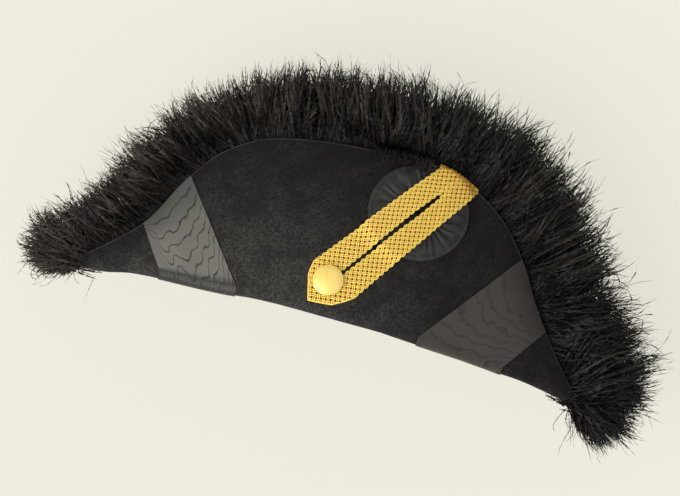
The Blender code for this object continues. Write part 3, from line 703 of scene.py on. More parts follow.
class HAT_OT_felt(bpy.types.Operator):
    """Felt brim with its two leaves, and the blocked crown"""

    bl_idname = "cocked_hat.felt"
    bl_label = "Felt"

    def execute(self, context):
        share, edge_x, _, _, _ = felt_edge()
        stations = np.interp(np.linspace(0, 1, BRIM_STATIONS + 1), share, edge_x)
        outlines = ((x, brim_outline(float(x))) for x in stations)
        rings = [np.column_stack([np.full(len(ring), x), ring]) for x, ring in outlines]
        rings = on_floor(np.array(rings))
        rows, around = rings.shape[:2]
        mesh = bpy.data.meshes.new("felt_brim")
        faces = [tuple(f) for f in grid_faces(rows, around, closed=True).tolist()]
        faces += [tuple(range(around)), tuple(range((rows - 1) * around, rows * around))]
        mesh.from_pydata(rings.reshape(-1, 3).tolist(), [], faces)
        facing_out(mesh)
        cutter_top = ARCH_RISE + FELT + FOLD_RADIUS / 2
        mesh = cut_out(mesh, oval_prism("opening_cutter", -ARCH_RISE, cutter_top))
        mesh.name = "felt_brim"
        brim = nap_and_place(mesh)
        add_piece("felt_brim", brim, felt_material("brim_felt", True), ("brim",))

        turns = angles(CROWN_SIDES)
        top = ARCH_RISE + CROWN_DEPTH
        shells = []
        for thinner in (0.0, FELT):
            long, wide = HEAD_LENGTH / 2 + FELT - thinner, HEAD_WIDTH / 2 + FELT - thinner
            base = under_height(long * np.cos(turns))
            for i in range(CROWN_RINGS):
                climb = math.radians(90 * i / CROWN_RINGS)
                x = long * np.cos(turns) * math.cos(climb)
                y = wide * np.sin(turns) * math.cos(climb)
                z = base + (top - thinner - base) * math.sin(climb)
                shells.append(np.stack([x, y, z], -1))
            shells.append(np.tile([0.0, 0.0, top - thinner], (CROWN_SIDES, 1)))
        outer, inner = shells[: CROWN_RINGS + 1], shells[CROWN_RINGS + 1 :]
        rings = np.array(outer[::-1] + inner)
        faces = grid_faces(len(rings), CROWN_SIDES, closed=True)
        mesh = mesh_of("felt_crown", rings.reshape(-1, 3), faces)
        crown = nap_and_place(facing_out(mesh, merged=True))
        add_piece("felt_crown", crown, felt_material("crown_felt", False), ("crown",))
        return {"FINISHED"}


# Watered ribbons


def silk_material(name, ground, figure, lines):
    """Ribbed silk with the wandering dark lines of a watered finish.

    figure is the lines' course from one side of the ribbon to the other. lines holds how
    many there are down the ribbon, where the first one is, how far they sink with the
    figure and how much they spread with it, how dark they are, how dark the ribbon is at
    its top, and how much painted shade darkens it where it rolls under at the fold.
    """
    hat = settings()
    count, first, sink, spread, strength, top_dark, fold_shade = lines
    graph = Graph(name, Roughness=0.46, Specular_IOR_Level=0.36, Sheen_Weight=0.03)
    u, v = graph.uv()
    place = graph.place()
    course = graph.node("ShaderNodeFloatCurve", {"curve": figure}, {"Value": u})
    wide, fine = graph.noise(place, 0.020, 1.0), graph.noise(place, 0.006, 1.5)
    sway = (wide - 0.5) * 0.16 + (fine - 0.5) * 0.10
    depth = v * (1 / RIBBON_ON_FACE) + (1 - course) * sink + sway * v.stretch(0.0, 0.3, 0.4, 1.0)
    depth = depth / (course * spread + (1 - spread))
    level = (depth - first) * count + 0.5
    off_line = (level.remainder() - 0.5).size()
    thin = graph.noise(place, 0.009, 2.0).stretch(0.3, 0.6, 0.01, 0.045)
    shown = depth.stretch(first - 0.12, first - 0.05)
    line = (off_line - thin).stretch(0.0, 0.08, 1.0, 0.0) * shown
    # Painted glints: thin lighter lines beside the watered lines, towards the ribbon's lower right.
    glint = ((level + 0.20).remainder() - 0.5).size().stretch(0.0, 0.06, 1.0, 0.0)
    glint = glint * (u * 0.6 + v * 0.6).stretch(0.80, 1.05)
    clouds = (graph.noise(place, 0.03, 2.0) - 0.5) * 0.4
    rib = (v * 420.0).wave() * 0.5 + 0.5
    weave = (u * 260.0).wave() * 0.25 + rib * 0.75
    line = line * v.stretch(0.05, 0.34, 0.45, 1.0)
    # Painted shade where the silk rolls under at the fold.
    fold_shade_tone = v.stretch(0.81, 0.92, 0.0, fold_shade)
    top = v.stretch(0.12, 0.36, top_dark, 0.0)
    tone = line * strength + (1.0 - weave) * 0.08 + clouds + fold_shade_tone + top
    cloth = graph.mix(tone.at_least(0.0).at_most(1.0), ground, tuple(hat.ribbon_figure))
    # Colour of the painted glints.
    bright = tuple(1.8 * value for value in ground)
    graph.set("Base Color", graph.mix(glint * 0.5, cloth, bright))
    graph.set("Roughness", line * 0.2 + 0.42)
    graph.bump(weave + line * -0.8, 0.00012, 0.5)
    return graph.material


class HAT_OT_ribbons(bpy.types.Operator):
    """Two slanting ribbons of watered silk on the near leaf, turned in under the fold"""

    bl_idname = "cocked_hat.ribbons"
    bl_label = "Ribbons"

    def execute(self, context):
        for row in RIBBONS:
            ribbon = dict(zip(RIBBON_COLUMNS, row))
            layers = [self.layer(ribbon, lift) for lift in (RIBBON_LIFT, RIBBON_TOP)]
            rows = [np.array([row for row, _ in layer]) for layer in layers]
            uv = np.concatenate([pair for layer in layers for _, pair in layer])
            points = laid_down(np.array(rows)).reshape(-1, 3)
            name = "ribbon_" + ribbon["side"]
            mesh = facing_out(mesh_of(name, points, slab_faces(*rows[0].shape[:2]), uv))
            mesh.set_sharp_from_angle(angle=math.radians(50))
            ground = tuple(getattr(settings(), name))
            # The silk's colour, lighter on the left ribbon as painted light.
            silk = silk_material(name + "_silk", ground, ribbon["figure"], ribbon["lines"])
            piece = add_piece(name, mesh, silk, ("silk_band_" + ribbon["side"],))
        return {"FINISHED"}

    @staticmethod
    def layer(ribbon, lift):
        """One side of a ribbon as rows of points, each with its pairs of coordinates."""
        side = np.linspace(0, 1, RIBBON_ACROSS + 1)
        edge_x = x_at(ribbon["edge_left"] + (ribbon["edge_right"] - ribbon["edge_left"]) * side)
        fold_x = x_at(ribbon["fold_left"] + (ribbon["fold_right"] - ribbon["fold_left"]) * side)
        edge_z = edge_height(edge_x) - 0.6 * FELT
        fold_z = under_height(fold_x) + fold_radius(fold_x)
        rows = []
        for t in np.linspace(0, 1, RIBBON_DOWN + 1):
            x, z = edge_x + (fold_x - edge_x) * t, edge_z + (fold_z - edge_z) * t
            ripple = [noise.noise(Vector((a * 60, 0.0, b * 60))) for a, b in zip(x, z)]
            ease = np.minimum(1, 12 * np.minimum(side, 1 - side)) * min(1, 12 * t)
            rise = RIBBON_RIPPLE * (1 + np.array(ripple)) * ease
            rows.append((near_face(x, z, lift + rise), pairs(side, t * RIBBON_ON_FACE)))
        radius = fold_radius(fold_x)
        for part in np.arange(1, RIBBON_ROUND + 1) / RIBBON_ROUND:
            turn = math.radians(90 * part)
            y = fold_half_width(fold_x) - radius + (radius + lift) * math.cos(turn)
            z = fold_z - (radius + lift) * math.sin(turn)
            at = RIBBON_ON_FACE + (1 - RIBBON_ON_FACE) * part
            rows.append((np.stack([fold_x, -y, z], -1), pairs(side, at)))
        for part in np.arange(1, RIBBON_UNDER + 1) / RIBBON_UNDER:
            y = fold_half_width(fold_x) - radius - RIBBON_TURN_IN * part
            row = np.stack([fold_x, -y, under_height(fold_x) - lift], -1)
            rows.append((row, pairs(side, 1.0 + 0.1 * part)))
        return rows


# Cockade


def cockade_lean():
    x = x_at(COCKADE_ALONG)
    top = edge_height(x)
    inwards = leaf_half_width(x, top) - leaf_half_width(x, top - 2 * COCKADE_RADIUS)
    return 1 / math.sqrt(1 + float(inwards / (2 * COCKADE_RADIUS)) ** 2)


def cockade_centre():
    x = float(x_at(COCKADE_ALONG))
    return x, float(edge_height(x)) - COCKADE_DROP - COCKADE_RADIUS * cockade_lean()


def cockade_ring(share, turns, lift):
    """A ring of the cockade at this share of its radius, and its pairs of coordinates."""
    x, z = cockade_centre()
    x = x + COCKADE_RADIUS * share * np.cos(turns)
    z = z + COCKADE_RADIUS * share * np.sin(turns) * cockade_lean()
    return near_face(x, z, lift), pairs(turns / (2 * math.pi), share)


def pleat_widths(count):
    """Where each pleat starts round the cockade, and how high it stands from 0 to 1."""
    rng = np.random.default_rng(SEED + 1)
    widths = 1 + 0.7 * rng.uniform(-1, 1, count)
    return np.r_[0, np.cumsum(widths)] / widths.sum() * 2 * math.pi, rng.uniform(0.35, 1.0, count)


def pleat_height(turn, share, starts, tall):
    """Height of knife pleats over their valleys, from 0 to 1."""
    sway = 0.07 * np.sin(3 * turn + 2) + 0.05 * np.sin(7 * share + 5 * turn)
    turn = (turn + 0.12 * (1 - share) + sway) % (2 * math.pi)
    i = np.clip(np.searchsorted(starts, turn, side="right") - 1, 0, len(tall) - 1)
    part = (turn - starts[i]) / (starts[i + 1] - starts[i])
    rising, falling = np.sin(part / CREST * math.pi / 2), (1 - part) / (1 - CREST)
    return np.where(part < CREST, rising, falling) * tall[i]


def cockade_material():
    """Black ribbon gathered towards the middle, with fine creases along the pleats."""
    hat = settings()
    graph = Graph("cockade_silk", Roughness=0.55, Specular_IOR_Level=0.35, Sheen_Weight=0.04)
    u, v = graph.uv()
    crease = graph.noise(graph.pair(u * 60.0, v * 1.2), 1.0, 2.0, 0.5)
    cloud = graph.noise(graph.place(), 0.012, 2.0)
    hem = v.stretch(0.90, 0.93)
    tone = (crease * 0.5 + cloud * 0.5).stretch(0.38, 0.66, 0.0, 0.85) + hem * 0.10
    light = tuple(min(1.0, 3.2 * value) for value in hat.cockade_colour)
    graph.set("Base Color", graph.mix(tone, tuple(hat.cockade_colour), light))
    graph.bump(crease + (v * 480.0).wave() * 0.15, 0.0003, 0.6)
    return graph.material


class HAT_OT_cockade(bpy.types.Operator):
    """Round cockade of pleated ribbon inside a plain hem"""

    bl_idname = "cocked_hat.cockade"
    bl_label = "Cockade"

    def execute(self, context):
        count = settings().pleats
        turns = angles(count * SIDES_OF_A_PLEAT)
        pleats = pleat_widths(count)
        rings = []
        for share in np.linspace(COCKADE_EYE, HEM_STARTS, PLEAT_RINGS):
            bed = PLEAT_BED + PLEAT_SWELL * math.sin(min(1.0, share / 0.75) * math.pi / 2)
            pleat = min(1.0, share / 0.45) * min(1.0, 0.25 + (HEM_STARTS - share) / 0.2)
            lift = LAID + bed + PLEAT_RISE * pleat * pleat_height(turns, share, *pleats)
            rings.append(cockade_ring(share, turns, lift))
        wave = np.random.default_rng(SEED).uniform(0, 6)
        sag = 0.00025 * np.sin(3 * turns + wave) + 0.0002 * np.sin(11 * turns)
        for share, height in HEM:
            rings.append(cockade_ring(share, turns, LAID + HEM_RISE * height + sag * height))
        for share in COCKADE_BACK:
            rings.append(cockade_ring(share, turns, LAID * 0.8))
        rows, sides = len(rings), len(turns)
        faces = grid_faces(rows, sides, closed=True)
        last = grid_faces(2, sides, closed=True)
        last = np.where(last < sides, last + (rows - 1) * sides, last - sides)
        points = laid_down(np.array([ring for ring, _ in rings])).reshape(-1, 3)
        uv = np.concatenate([pair for _, pair in rings])
        mesh = mesh_of("cockade_pleats", points, np.concatenate([faces, last]), uv)
        mesh.set_sharp_from_angle(angle=math.radians(55))
        silk = cockade_material()
        piece = add_piece("cockade_pleats", facing_out(mesh), silk, ("cockade",))
        return {"FINISHED"}


# Gold braid and button

STRAND_STEP = 0.0007
CORD_SIDES = 6
CORD_SPREAD = 0.00070  # half the distance between the two cords of a strand
WEAVE_RISE = 0.00062
PLAIT_WIDTH = 0.0232  # one run of the plait before it is fitted between the loop's lines
PLAIT_TURN = 0.985  # how sharply a strand turns back at the sides, at most 1
# Slit: shares of the loop's length up from the button, half its width there, and the
# same where the runs are sewn together. Below 0 the runs overlap.
SLIT = (
    (0.0, 0.10, 0.40, 0.66, 0.80), (-0.0006, 0.0009, 0.0011, 0.0018, 0.0010), -0.0006,
)
EDGE_EASE = 0.004  # length over which the loop settles onto the rim of the felt edge
RIM_RADIUS = FELT / 2 + 0.001  # of the loop's middle where it turns over that rim
# The backing's dark brown is painted shade, seen through the gaps between the gold cords.
SHADED_BACKING_COLOUR = (0.045, 0.018, 0.005, 1.0)
BACKING_ROWS, BACKING_COLUMNS, BACKING_LIFTS = 150, 12, (0.00003, 0.00025)
WRAP = 0.010  # braid that runs on over the felt edge and down inside


def button_centre():
    return float(x_at(BUTTON_ALONG)), BUTTON_UP * EDGE_RISE


def loop_point(across, up):
    """Near leaf's x and z from the loop's own lines: across from the slit, up from the button."""
    x, z = button_centre()
    across = across + BUTTON_OFFSET
    return (
        x + up * math.cos(LOOP_TILT) + across * math.sin(LOOP_TILT),
        z + up * math.sin(LOOP_TILT) - across * math.cos(LOOP_TILT),
    )


def loop_top(across):
    """Distance up the loop at which a line of it meets the rim of the felt edge."""
    across = np.asarray(across, float)
    low, high = np.zeros_like(across), np.full_like(across, 1.5 * EDGE_RISE)
    for _ in range(40):
        middle = (low + high) / 2
        x, z = loop_point(across, middle)
        under = z < edge_height(x) - FELT / 2
        low, high = np.where(under, middle, low), np.where(under, high, middle)
    return low


LOOP_LENGTH = float(loop_top(np.array(0.0)))


def slit_half(up):
    """Half the gap between the two runs."""
    known, half, sewn = SLIT
    known = np.array([*known, 1 - SLIT_SEWN / LOOP_LENGTH]) * LOOP_LENGTH
    return np.interp(up, known, [*half, sewn])


def run_across(side, share, up):
    """Across the loop, for a share of one run's width from the slit."""
    width = LACE_WIDTH + (LACE_WIDTH_TOP - LACE_WIDTH) * up / LOOP_LENGTH
    inside = slit_half(up)
    return side * (inside + share * (width - inside))


def loop_lift(x, z):
    """Height of the loop's underside over the felt: it climbs onto the cockade."""
    centre_x, centre_z = cockade_centre()
    away = np.hypot(x - centre_x, (z - centre_z) / cockade_lean())
    near = np.clip((COCKADE_RADIUS + LOOP_RAMP - away) / LOOP_RAMP, 0, 1)
    return LAID + (COCKADE_CROWN + GAP) * near * near * (3 - 2 * near)


def loop_surface(side, share, up, lift):
    """Points over the loop's path, kept inside its pointed end and turned over the felt edge."""
    share, up, lift = np.broadcast_arrays(share, up, lift)
    ends = np.array(LOOP_ENDS)
    start = -LOOP_END * (1 - np.interp(side * share, ends[:, 0], ends[:, 1]))
    up = np.maximum(up, start)
    across = run_across(side, share, up)
    top = loop_top(across)
    held = np.minimum(up, top)
    x, z = loop_point(across, held)
    points = near_face(x, z, loop_lift(x, z) + lift)
    beyond = np.maximum(up - top, 0.0)
    ease = np.clip(beyond / EDGE_EASE, 0, 1)
    base = loop_lift(x, z) * (1 - ease) + LAID * ease
    reach = FELT / 2 + base + lift
    turn = np.minimum(beyond / RIM_RADIUS, math.pi)
    down = np.maximum(beyond - math.pi * RIM_RADIUS, 0.0)
    rim_y = -edge_half_width(x) + FELT / 2
    rim_z = edge_height(x) - FELT / 2
    over = np.stack([x, rim_y - reach * np.cos(turn), rim_z + reach * np.sin(turn) - down], -1)
    return np.where((beyond > 0)[..., None], over, points)


def tube(line, radius, sides, out):
    """Points and quads of an open tube, with how far along and round it each point is."""
    ahead = unit(np.gradient(line, axis=0))
    across = unit(np.cross(ahead, out))
    up = np.cross(across, ahead)
    turns = angles(sides)
    cosine, sine = np.cos(turns)[None, :, None], np.sin(turns)[None, :, None]
    points = line[:, None] + (cosine * across[:, None] + sine * up[:, None]) * radius
    run = np.r_[0, np.cumsum(np.linalg.norm(np.diff(line, axis=0), axis=1))]
    uv = np.stack(np.broadcast_arrays(run[:, None], turns[None, :] / (2 * math.pi)), -1)
    return points.reshape(-1, 3), grid_faces(len(line), sides, closed=True), uv.reshape(-1, 2)


def gold_cord_material():
    """Twisted gilt wire, with painted light on its crowns and painted shade, orange-brown, where it
    dips under.
    """
    hat = settings()
    graph = Graph("gilt_cord", Metallic=0.30, Roughness=0.36)
    u, v = graph.uv()
    twist = ((u * 1500.0 + v) * (2 * math.pi)).wave() * 0.5 + 0.5
    wear = graph.noise(graph.place(), 0.004, 2.0)
    tone = (graph.stored("crown") * 0.75 + twist * 0.2 + (wear - 0.5) * 0.5).stretch(0.05, 0.74)
    graph.set("Base Color", graph.mix(tone, tuple(hat.gold_shade), tuple(hat.gold_colour)))
    graph.bump(twist, 0.00012, 0.6)
    return graph.material


def strand_lines(side, strand, count, width):
    """The two cords of one strand as (line, how far it stands proud there, direction out)."""
    up = np.arange(-LOOP_END - 0.012, LOOP_LENGTH + WRAP + 0.012, STRAND_STEP)
    q = up / (2 * width) + strand / count  # how often it has gone over and back
    radius = settings().cord_radius
    margin = (CORD_SPREAD + radius) / width
    swung = np.sin(2 * math.pi * (q - 0.25))
    swing = np.arcsin(swung * PLAIT_TURN) / math.asin(PLAIT_TURN)
    share = 0.5 + 0.5 * swing * (1 - 2 * margin)
    straight = 0.5 + np.arcsin(swung) / math.pi
    rising = (q % 1.0) < 0.5
    index = strand - count * np.floor(q)
    crossing = (np.where(rising, 2 - straight, straight) - up / width) * count / 2
    weave = np.cos(math.pi * (index + crossing)) * np.where(rising, 1, -1)
    to_side = np.minimum(straight, 1 - straight)
    weave *= np.clip(to_side / 0.07, 0, 1)
    # The crown value mixes the gold from its painted shade to its painted light: up where a cord
    # rides over, down where it dips under, raised at the outer cords and lowered over the last 12%
    # of the loop towards the felt edge.
    extra_tone = np.clip((up / LOOP_LENGTH - 0.88) / 0.12, 0, 1)
    outer = np.clip(1 - to_side / 0.12, 0, 1)
    crown = np.clip(0.5 + 0.5 * weave + 0.5 * outer - 0.35 * extra_tone, 0, 1.3)
    plane = np.stack([share * width, up], -1)
    ahead = unit(np.gradient(plane, axis=0))
    aside = np.stack([-ahead[:, 1], ahead[:, 0]], -1)
    lift = radius + WEAVE_RISE * (1 + weave) * 0.5
    lines = []
    for offset in (-CORD_SPREAD, CORD_SPREAD):
        across, cord_up = (plane + aside * offset).T
        keep = cord_up < LOOP_LENGTH + WRAP
        at = np.clip(across / width, 0.0, 1.0)[keep], cord_up[keep]
        line = loop_surface(side, *at, lift[keep])
        above = loop_surface(side, *at, lift[keep] + 0.001)
        moved = np.linalg.norm(np.diff(line, axis=0), axis=1) > 0.25 * STRAND_STEP
        moved = np.r_[True, moved]
        lines.append((line[moved], crown[keep][moved], (above - line)[moved]))
    return lines


def joined(parts):
    """Points, faces and pairs of several parts as one set of arrays."""
    points, faces, pairs, first = [], [], [], 0
    for part_points, part_faces, part_pairs in parts:
        points.append(part_points)
        faces.append(part_faces + first)
        pairs.append(part_pairs)
        first += len(part_points)
    return np.concatenate(points), np.concatenate(faces), np.concatenate(pairs)


class HAT_OT_braid(bpy.types.Operator):
    """Two runs of plaited gold cord over a backing painted dark brown as the shade between the
    cords, turned over the felt edge
    """

    bl_idname = "cocked_hat.braid"
    bl_label = "Gold braid"

    def execute(self, context):
        hat = settings()
        backing = Graph("braid_backing", Roughness=0.9, Base_Color=SHADED_BACKING_COLOUR).material
        cord = gold_cord_material()
        strands = hat.braid_strands
        for name, side in (("upper", -1), ("lower", 1)):
            parts, crowns = [], []
            for strand in range(strands):
                for line, crown, out in strand_lines(side, strand, strands, PLAIT_WIDTH):
                    out = laid_down(out) - laid_down(0 * out)
                    parts.append(tube(laid_down(line), hat.cord_radius, CORD_SIDES, out))
                    crowns.append(np.repeat(crown, CORD_SIDES))
            points, faces, uv = joined(parts)
            mesh = mesh_of(f"braid_{name}", points, faces, uv, {"crown": np.concatenate(crowns)})
            add_piece(f"braid_{name}", mesh, cord, ("gold_loop",))
            ups = np.linspace(-LOOP_END, LOOP_LENGTH + WRAP * 0.8, BACKING_ROWS)
            share, up = np.meshgrid(np.linspace(0.04, 0.96, BACKING_COLUMNS), ups)
            low, high = (loop_surface(side, share, up, lift) for lift in BACKING_LIFTS)
            sheet = np.concatenate([low.reshape(-1, 3), high.reshape(-1, 3)])
            faces = slab_faces(*share.shape)
            mesh = facing_out(mesh_of(f"backing_{name}", laid_down(sheet), faces))
            add_piece(f"backing_{name}", mesh, backing)
        return {"FINISHED"}


BUTTON_SIDES, BUTTON_RINGS = 96, 70
BUTTON_SHADE = (0.97, 0.86, 0.66)  # its darker colour, as shares of its own
BUTTON_PROFILE = (  # (share of the radius, height) from the back round the rim to the middle
    (0.00, 0.0000), (0.88, 0.0000), (0.95, 0.0003), (0.985, 0.0007), (1.00, 0.0012),
    (0.99, 0.0017), (0.965, 0.0021), (0.94, 0.0023), (0.92, 0.0024), (0.90, 0.0026),
    (0.86, 0.0031), (0.80, 0.0036), (0.70, 0.0042), (0.56, 0.0047), (0.40, 0.0050),
    (0.22, 0.0052), (0.08, 0.0052), (0.00, 0.0052),
)


class HAT_OT_button(bpy.types.Operator):
    """Domed gilt button with a finely stippled face"""

    bl_idname = "cocked_hat.button"
    bl_label = "Button"

    def execute(self, context):
        x, z = button_centre()
        seat = float(loop_lift(x, z)) + LACE_THICKNESS + GAP
        origin, face = near_face(x, z, seat), near_face(x, z, 0.0)
        out = near_normal(np.array(x), np.array(z))
        aside = unit(np.cross(out, (0.0, 0.0, 1.0)))
        up = np.cross(aside, out)
        turns = angles(BUTTON_SIDES)
        circle_x, circle_z = BUTTON_RADIUS * np.cos(turns), BUTTON_RADIUS * np.sin(turns)
        rim = near_face(x + circle_x, z + circle_z, 0.0)
        sag = max(0.0, float(((rim - face) @ out).max()))
        share, high = np.array(BUTTON_PROFILE).T
        run = np.r_[0, np.cumsum(np.hypot(np.diff(share * BUTTON_RADIUS), np.diff(high)))]
        fine = np.linspace(0, run[-1], BUTTON_RINGS)
        share, high = np.interp(fine, run, share), np.interp(fine, run, high)
        flat = aside * circle_x[:, None] + up * circle_z[:, None]
        rings = origin + flat[None] * share[:, None, None] + out * (high + sag)[:, None, None]
        faces = grid_faces(BUTTON_RINGS, BUTTON_SIDES, closed=True)
        mesh = mesh_of("gilt_button", laid_down(rings).reshape(-1, 3), faces)
        facing_out(mesh, merged=True).shade_smooth()
        hat = settings()
        graph = Graph("gilt_metal", Metallic=0.35, Roughness=0.40)
        place = graph.place()
        pits = graph.noise(place, 0.0011, 2.0, 0.6)
        cloud = graph.noise(place, 0.009, 2.0)
        shade = tuple(np.multiply(hat.button_colour, BUTTON_SHADE).tolist())
        tone = (pits * 0.5 + cloud * 0.5).stretch(0.3, 0.6)
        graph.set("Base Color", graph.mix(tone, shade, tuple(hat.button_colour)))
        graph.set("Roughness", cloud * 0.15 + 0.36)
        graph.bump(pits, 0.0004, 0.5)
        add_piece("gilt_button", mesh, graph.material, ("button",))
        return {"FINISHED"}


# Feathers

FLUE_STEPS = 12
FLUE_SHARES = (np.arange(FLUE_STEPS) + 0.5)[None] / FLUE_STEPS
QUILL_WIDTH = 0.0005
VANE_WIDTH = 0.0019  # the widest half of a flue
FLOOR_CLEAR = 0.0004
# Sweep of the feathers from straight out, in degrees, at shares of the felt edge.
LEAN = ((0.0, 0.10, 0.42, 0.60, 0.80, 0.92, 1.0), (9.0, 9.0, 3.0, 10.0, 13.0, -2.0, -12.0))
FAN_DEPTH = 0.024  # how far behind each tip the fan is sewn in
FAN_LIMITS = (-64.0, 246.0)  # the lowest ways out of the two fans, in degrees
BOX_ROOM = 0.007  # room round the frame's box, besides 3% of each side
SINGLES = (  # single flues: share of the hat's length, height, way in degrees, length and curl
    (0.990, 0.0010, -71.0, 0.046, 0.1), (0.985, 0.0010, -74.0, 0.040, -0.2),
    (0.052, -0.0030, 263.0, 0.028, -0.3),
)
PLUME_FULLER = (  # shares of the edge, and how much further than PLUMES the flues reach there
    (-0.16, -0.08, 0.00, 0.08, 0.18, 0.30, 0.50, 0.70, 0.80, 0.90, 1.00, 1.06, 1.15),
    (0.97, 0.92, 0.98, 1.06, 1.14, 1.05, 1.04, 1.13, 1.19, 1.20, 1.00, 0.92, 0.95),
)
DROOP_STARTS = 0.50  # share of the edge from which flues hang over the felt, up to the braid
DROOPING = 220  # number of those flues
# Painted light: the flues are browner on the left of the hat, where the key light falls.
PAINTED_LIGHT_ALONG = ((0.0, 0.35, 0.7, 1.0), (0.74, 0.48, 0.10, -0.10))  # shares of the edge, brownness
CURLED = ((0.0, 0.3, 1.0), (0.28, 0.10, 0.13))  # shares of the edge, share of curled flues


def braid_crosses():
    """Shares of the felt edge between which the braid is turned over it."""
    share, edge_x, _, _, _ = felt_edge()
    sides = np.array([-LACE_WIDTH_TOP, LACE_WIDTH_TOP])
    return np.interp(loop_point(sides, loop_top(sides))[0], edge_x, share)


def border_at(along):
    """Base x and z, direction out in degrees and reach of the border at these shares."""
    share, x, z, out, _ = felt_edge()
    table = np.array(PLUMES)
    known, turn = table[:, 0], table[:, 1]
    reach = smooth(along, known, table[:, 2]) * PLUME_REACH
    on_edge = (along > 0) & (along < 1)
    direction = np.where(on_edge, np.interp(along, share, out), np.interp(along, known, turn))
    ease = np.clip(np.minimum(along, 1 - along) / 0.06, 0, 1)
    tip = np.where(along < 0.5, np.interp(0.0, known, turn), np.interp(1.0, known, turn))
    direction = np.where(on_edge, tip + (direction - tip) * ease, direction)
    return np.interp(along, share, x), np.interp(along, share, z), direction, reach


def grown(base, side, heading, lift, length):
    """Middle lines of flues as (flue, step, 3), each grown step by step from its base.

    heading is the way each step goes in the plane of the leaf, and lift how far it
    leaves that plane, both as (flue, step).
    """
    step = (length / FLUE_STEPS)[:, None]
    moves = np.stack(
        [
            step * np.cos(heading) * np.cos(lift),
            step * side * np.sin(lift),
            step * np.sin(heading) * np.cos(lift),
        ],
        -1,
    )
    return np.concatenate([base[:, None], base[:, None] + np.cumsum(moves, axis=1)], axis=1)


def along_lines(lines, share):
    """Points and directions at these shares of each line, both as (flue, share, 3)."""
    scaled = np.clip(share, 0, 1) * (lines.shape[1] - 1)
    i = np.minimum(scaled.astype(int), lines.shape[1] - 2)
    rows = np.arange(len(lines))[:, None]
    here, there = lines[rows, i], lines[rows, i + 1]
    return here + (there - here) * (scaled - i)[..., None], unit(there - here)


def strips(middle, aside, width):
    """Flat ribbons along these lines: points as (line, 2 x step, 3), and their faces."""
    count, steps = middle.shape[:2]
    edge = aside * width / 2
    points = np.stack([middle - edge, middle + edge], 2).reshape(count, steps * 2, 3)
    corner = np.arange(steps - 1) * 2
    quads = np.stack([corner, corner + 1, corner + 3, corner + 2], -1)
    triangles = np.concatenate([quads[:, [0, 1, 2]], quads[:, [0, 2, 3]]])
    faces = (np.arange(count) * steps * 2)[:, None, None] + triangles[None]
    return points, faces.reshape(-1, 3)


def feather_mesh(name, lines, tone, fullness, rng, barbules):
    """A fine quill along each flue, with a vane of forward-swept barbules on both sides."""
    count, steps = lines.shape[:2]
    ahead = unit(np.gradient(lines, axis=1))
    flat = unit(np.cross(ahead, np.array([0.0, 1.0, 0.0])))
    upright = np.cross(ahead, flat)
    t = np.linspace(0, 1, steps)
    roll = rng.normal(0, 0.7, (count, 1)) + rng.normal(0, 0.9, (count, 1)) * t[None]
    aside = flat * np.cos(roll)[..., None] + upright * np.sin(roll)[..., None]
    width = QUILL_WIDTH * (1.0 - 0.72 * t**1.5)[None, :, None]
    width = width * rng.uniform(0.7, 1.2, (count, 1, 1))
    points, faces = strips(lines, aside, width)
    tips = np.broadcast_to(np.repeat(t, 2)[None], (count, steps * 2)).ravel()
    tones = np.repeat(tone, steps * 2)
    points = points.reshape(-1, 3)
    if barbules:
        share = (np.arange(barbules)[None] + rng.uniform(0, 1, (count, barbules))) / barbules
        share = 0.01 + 0.97 * share
        back, _ = along_lines(lines, share - 0.7 / barbules)
        front, _ = along_lines(lines, share + 0.7 / barbules)
        ahead_of, direction = along_lines(lines, share + 1.1 / barbules)
        sidewise = unit(along_lines(aside, share)[0])
        third = np.cross(direction, sidewise)
        narrowing = 1 - np.clip((share - 0.35) / 0.62, 0, 1) ** 1.6
        full = np.minimum(1.0, 0.45 + 2.2 * share) * narrowing
        half = (VANE_WIDTH * full * fullness[:, None])[..., None]
        for sign in (-1, 1):
            reach = half * rng.uniform(0.6, 1.3, (count, barbules, 1))
            bend = half * rng.normal(0, 0.35, (count, barbules, 1))
            apex = ahead_of + sign * sidewise * reach + third * bend
            three = np.stack([back, front, apex], 2).reshape(-1, 3)
            more = np.arange(len(three)).reshape(-1, 3) + len(points)
            points, faces = np.concatenate([points, three]), np.concatenate([faces, more])
            tips = np.concatenate([tips, np.repeat(share.ravel(), 3)])
            tones = np.concatenate([tones, np.repeat(tone, barbules * 3)])
    laid = laid_down(points)
    laid[:, 2] = np.maximum(laid[:, 2], FLOOR_CLEAR)
    return mesh_of(name, laid, faces, stored={"tip": tips, "tone": tones})


def feather_material():
    """Black ostrich flue: painted light browns it on the left of the hat and towards its tip, and
    painted shade darkens it towards its root.
    """
    hat = settings()
    graph = Graph("ostrich_flue", Roughness=0.50, Specular_IOR_Level=0.20)
    tip, tone = graph.stored("tip"), graph.stored("tone")
    # Painted shade darkens the flues towards their roots; painted light browns them towards their
    # tips.
    brown = (tip**2.0) * 0.20 + tone * (tip * 0.8 + 0.3)
    graph.set("Base Color", graph.mix(brown, tuple(hat.feather_colour), tuple(hat.feather_tip)))
    return graph.material


def turning(start, swing, curl, frizz, rng):
    """Heading of each flue step by step: an even bend, a curled end and a fine waver."""
    t = FLUE_SHARES
    late = np.clip((t - 0.55) / 0.45, 0, 1)
    waver = rng.normal(0, 1, (len(start), FLUE_STEPS)) * (0.03 + frizz[:, None] * late)
    waver = np.cumsum(waver, axis=1)
    return start[:, None] + swing[:, None] * t + curl[:, None] * late**1.5 + waver


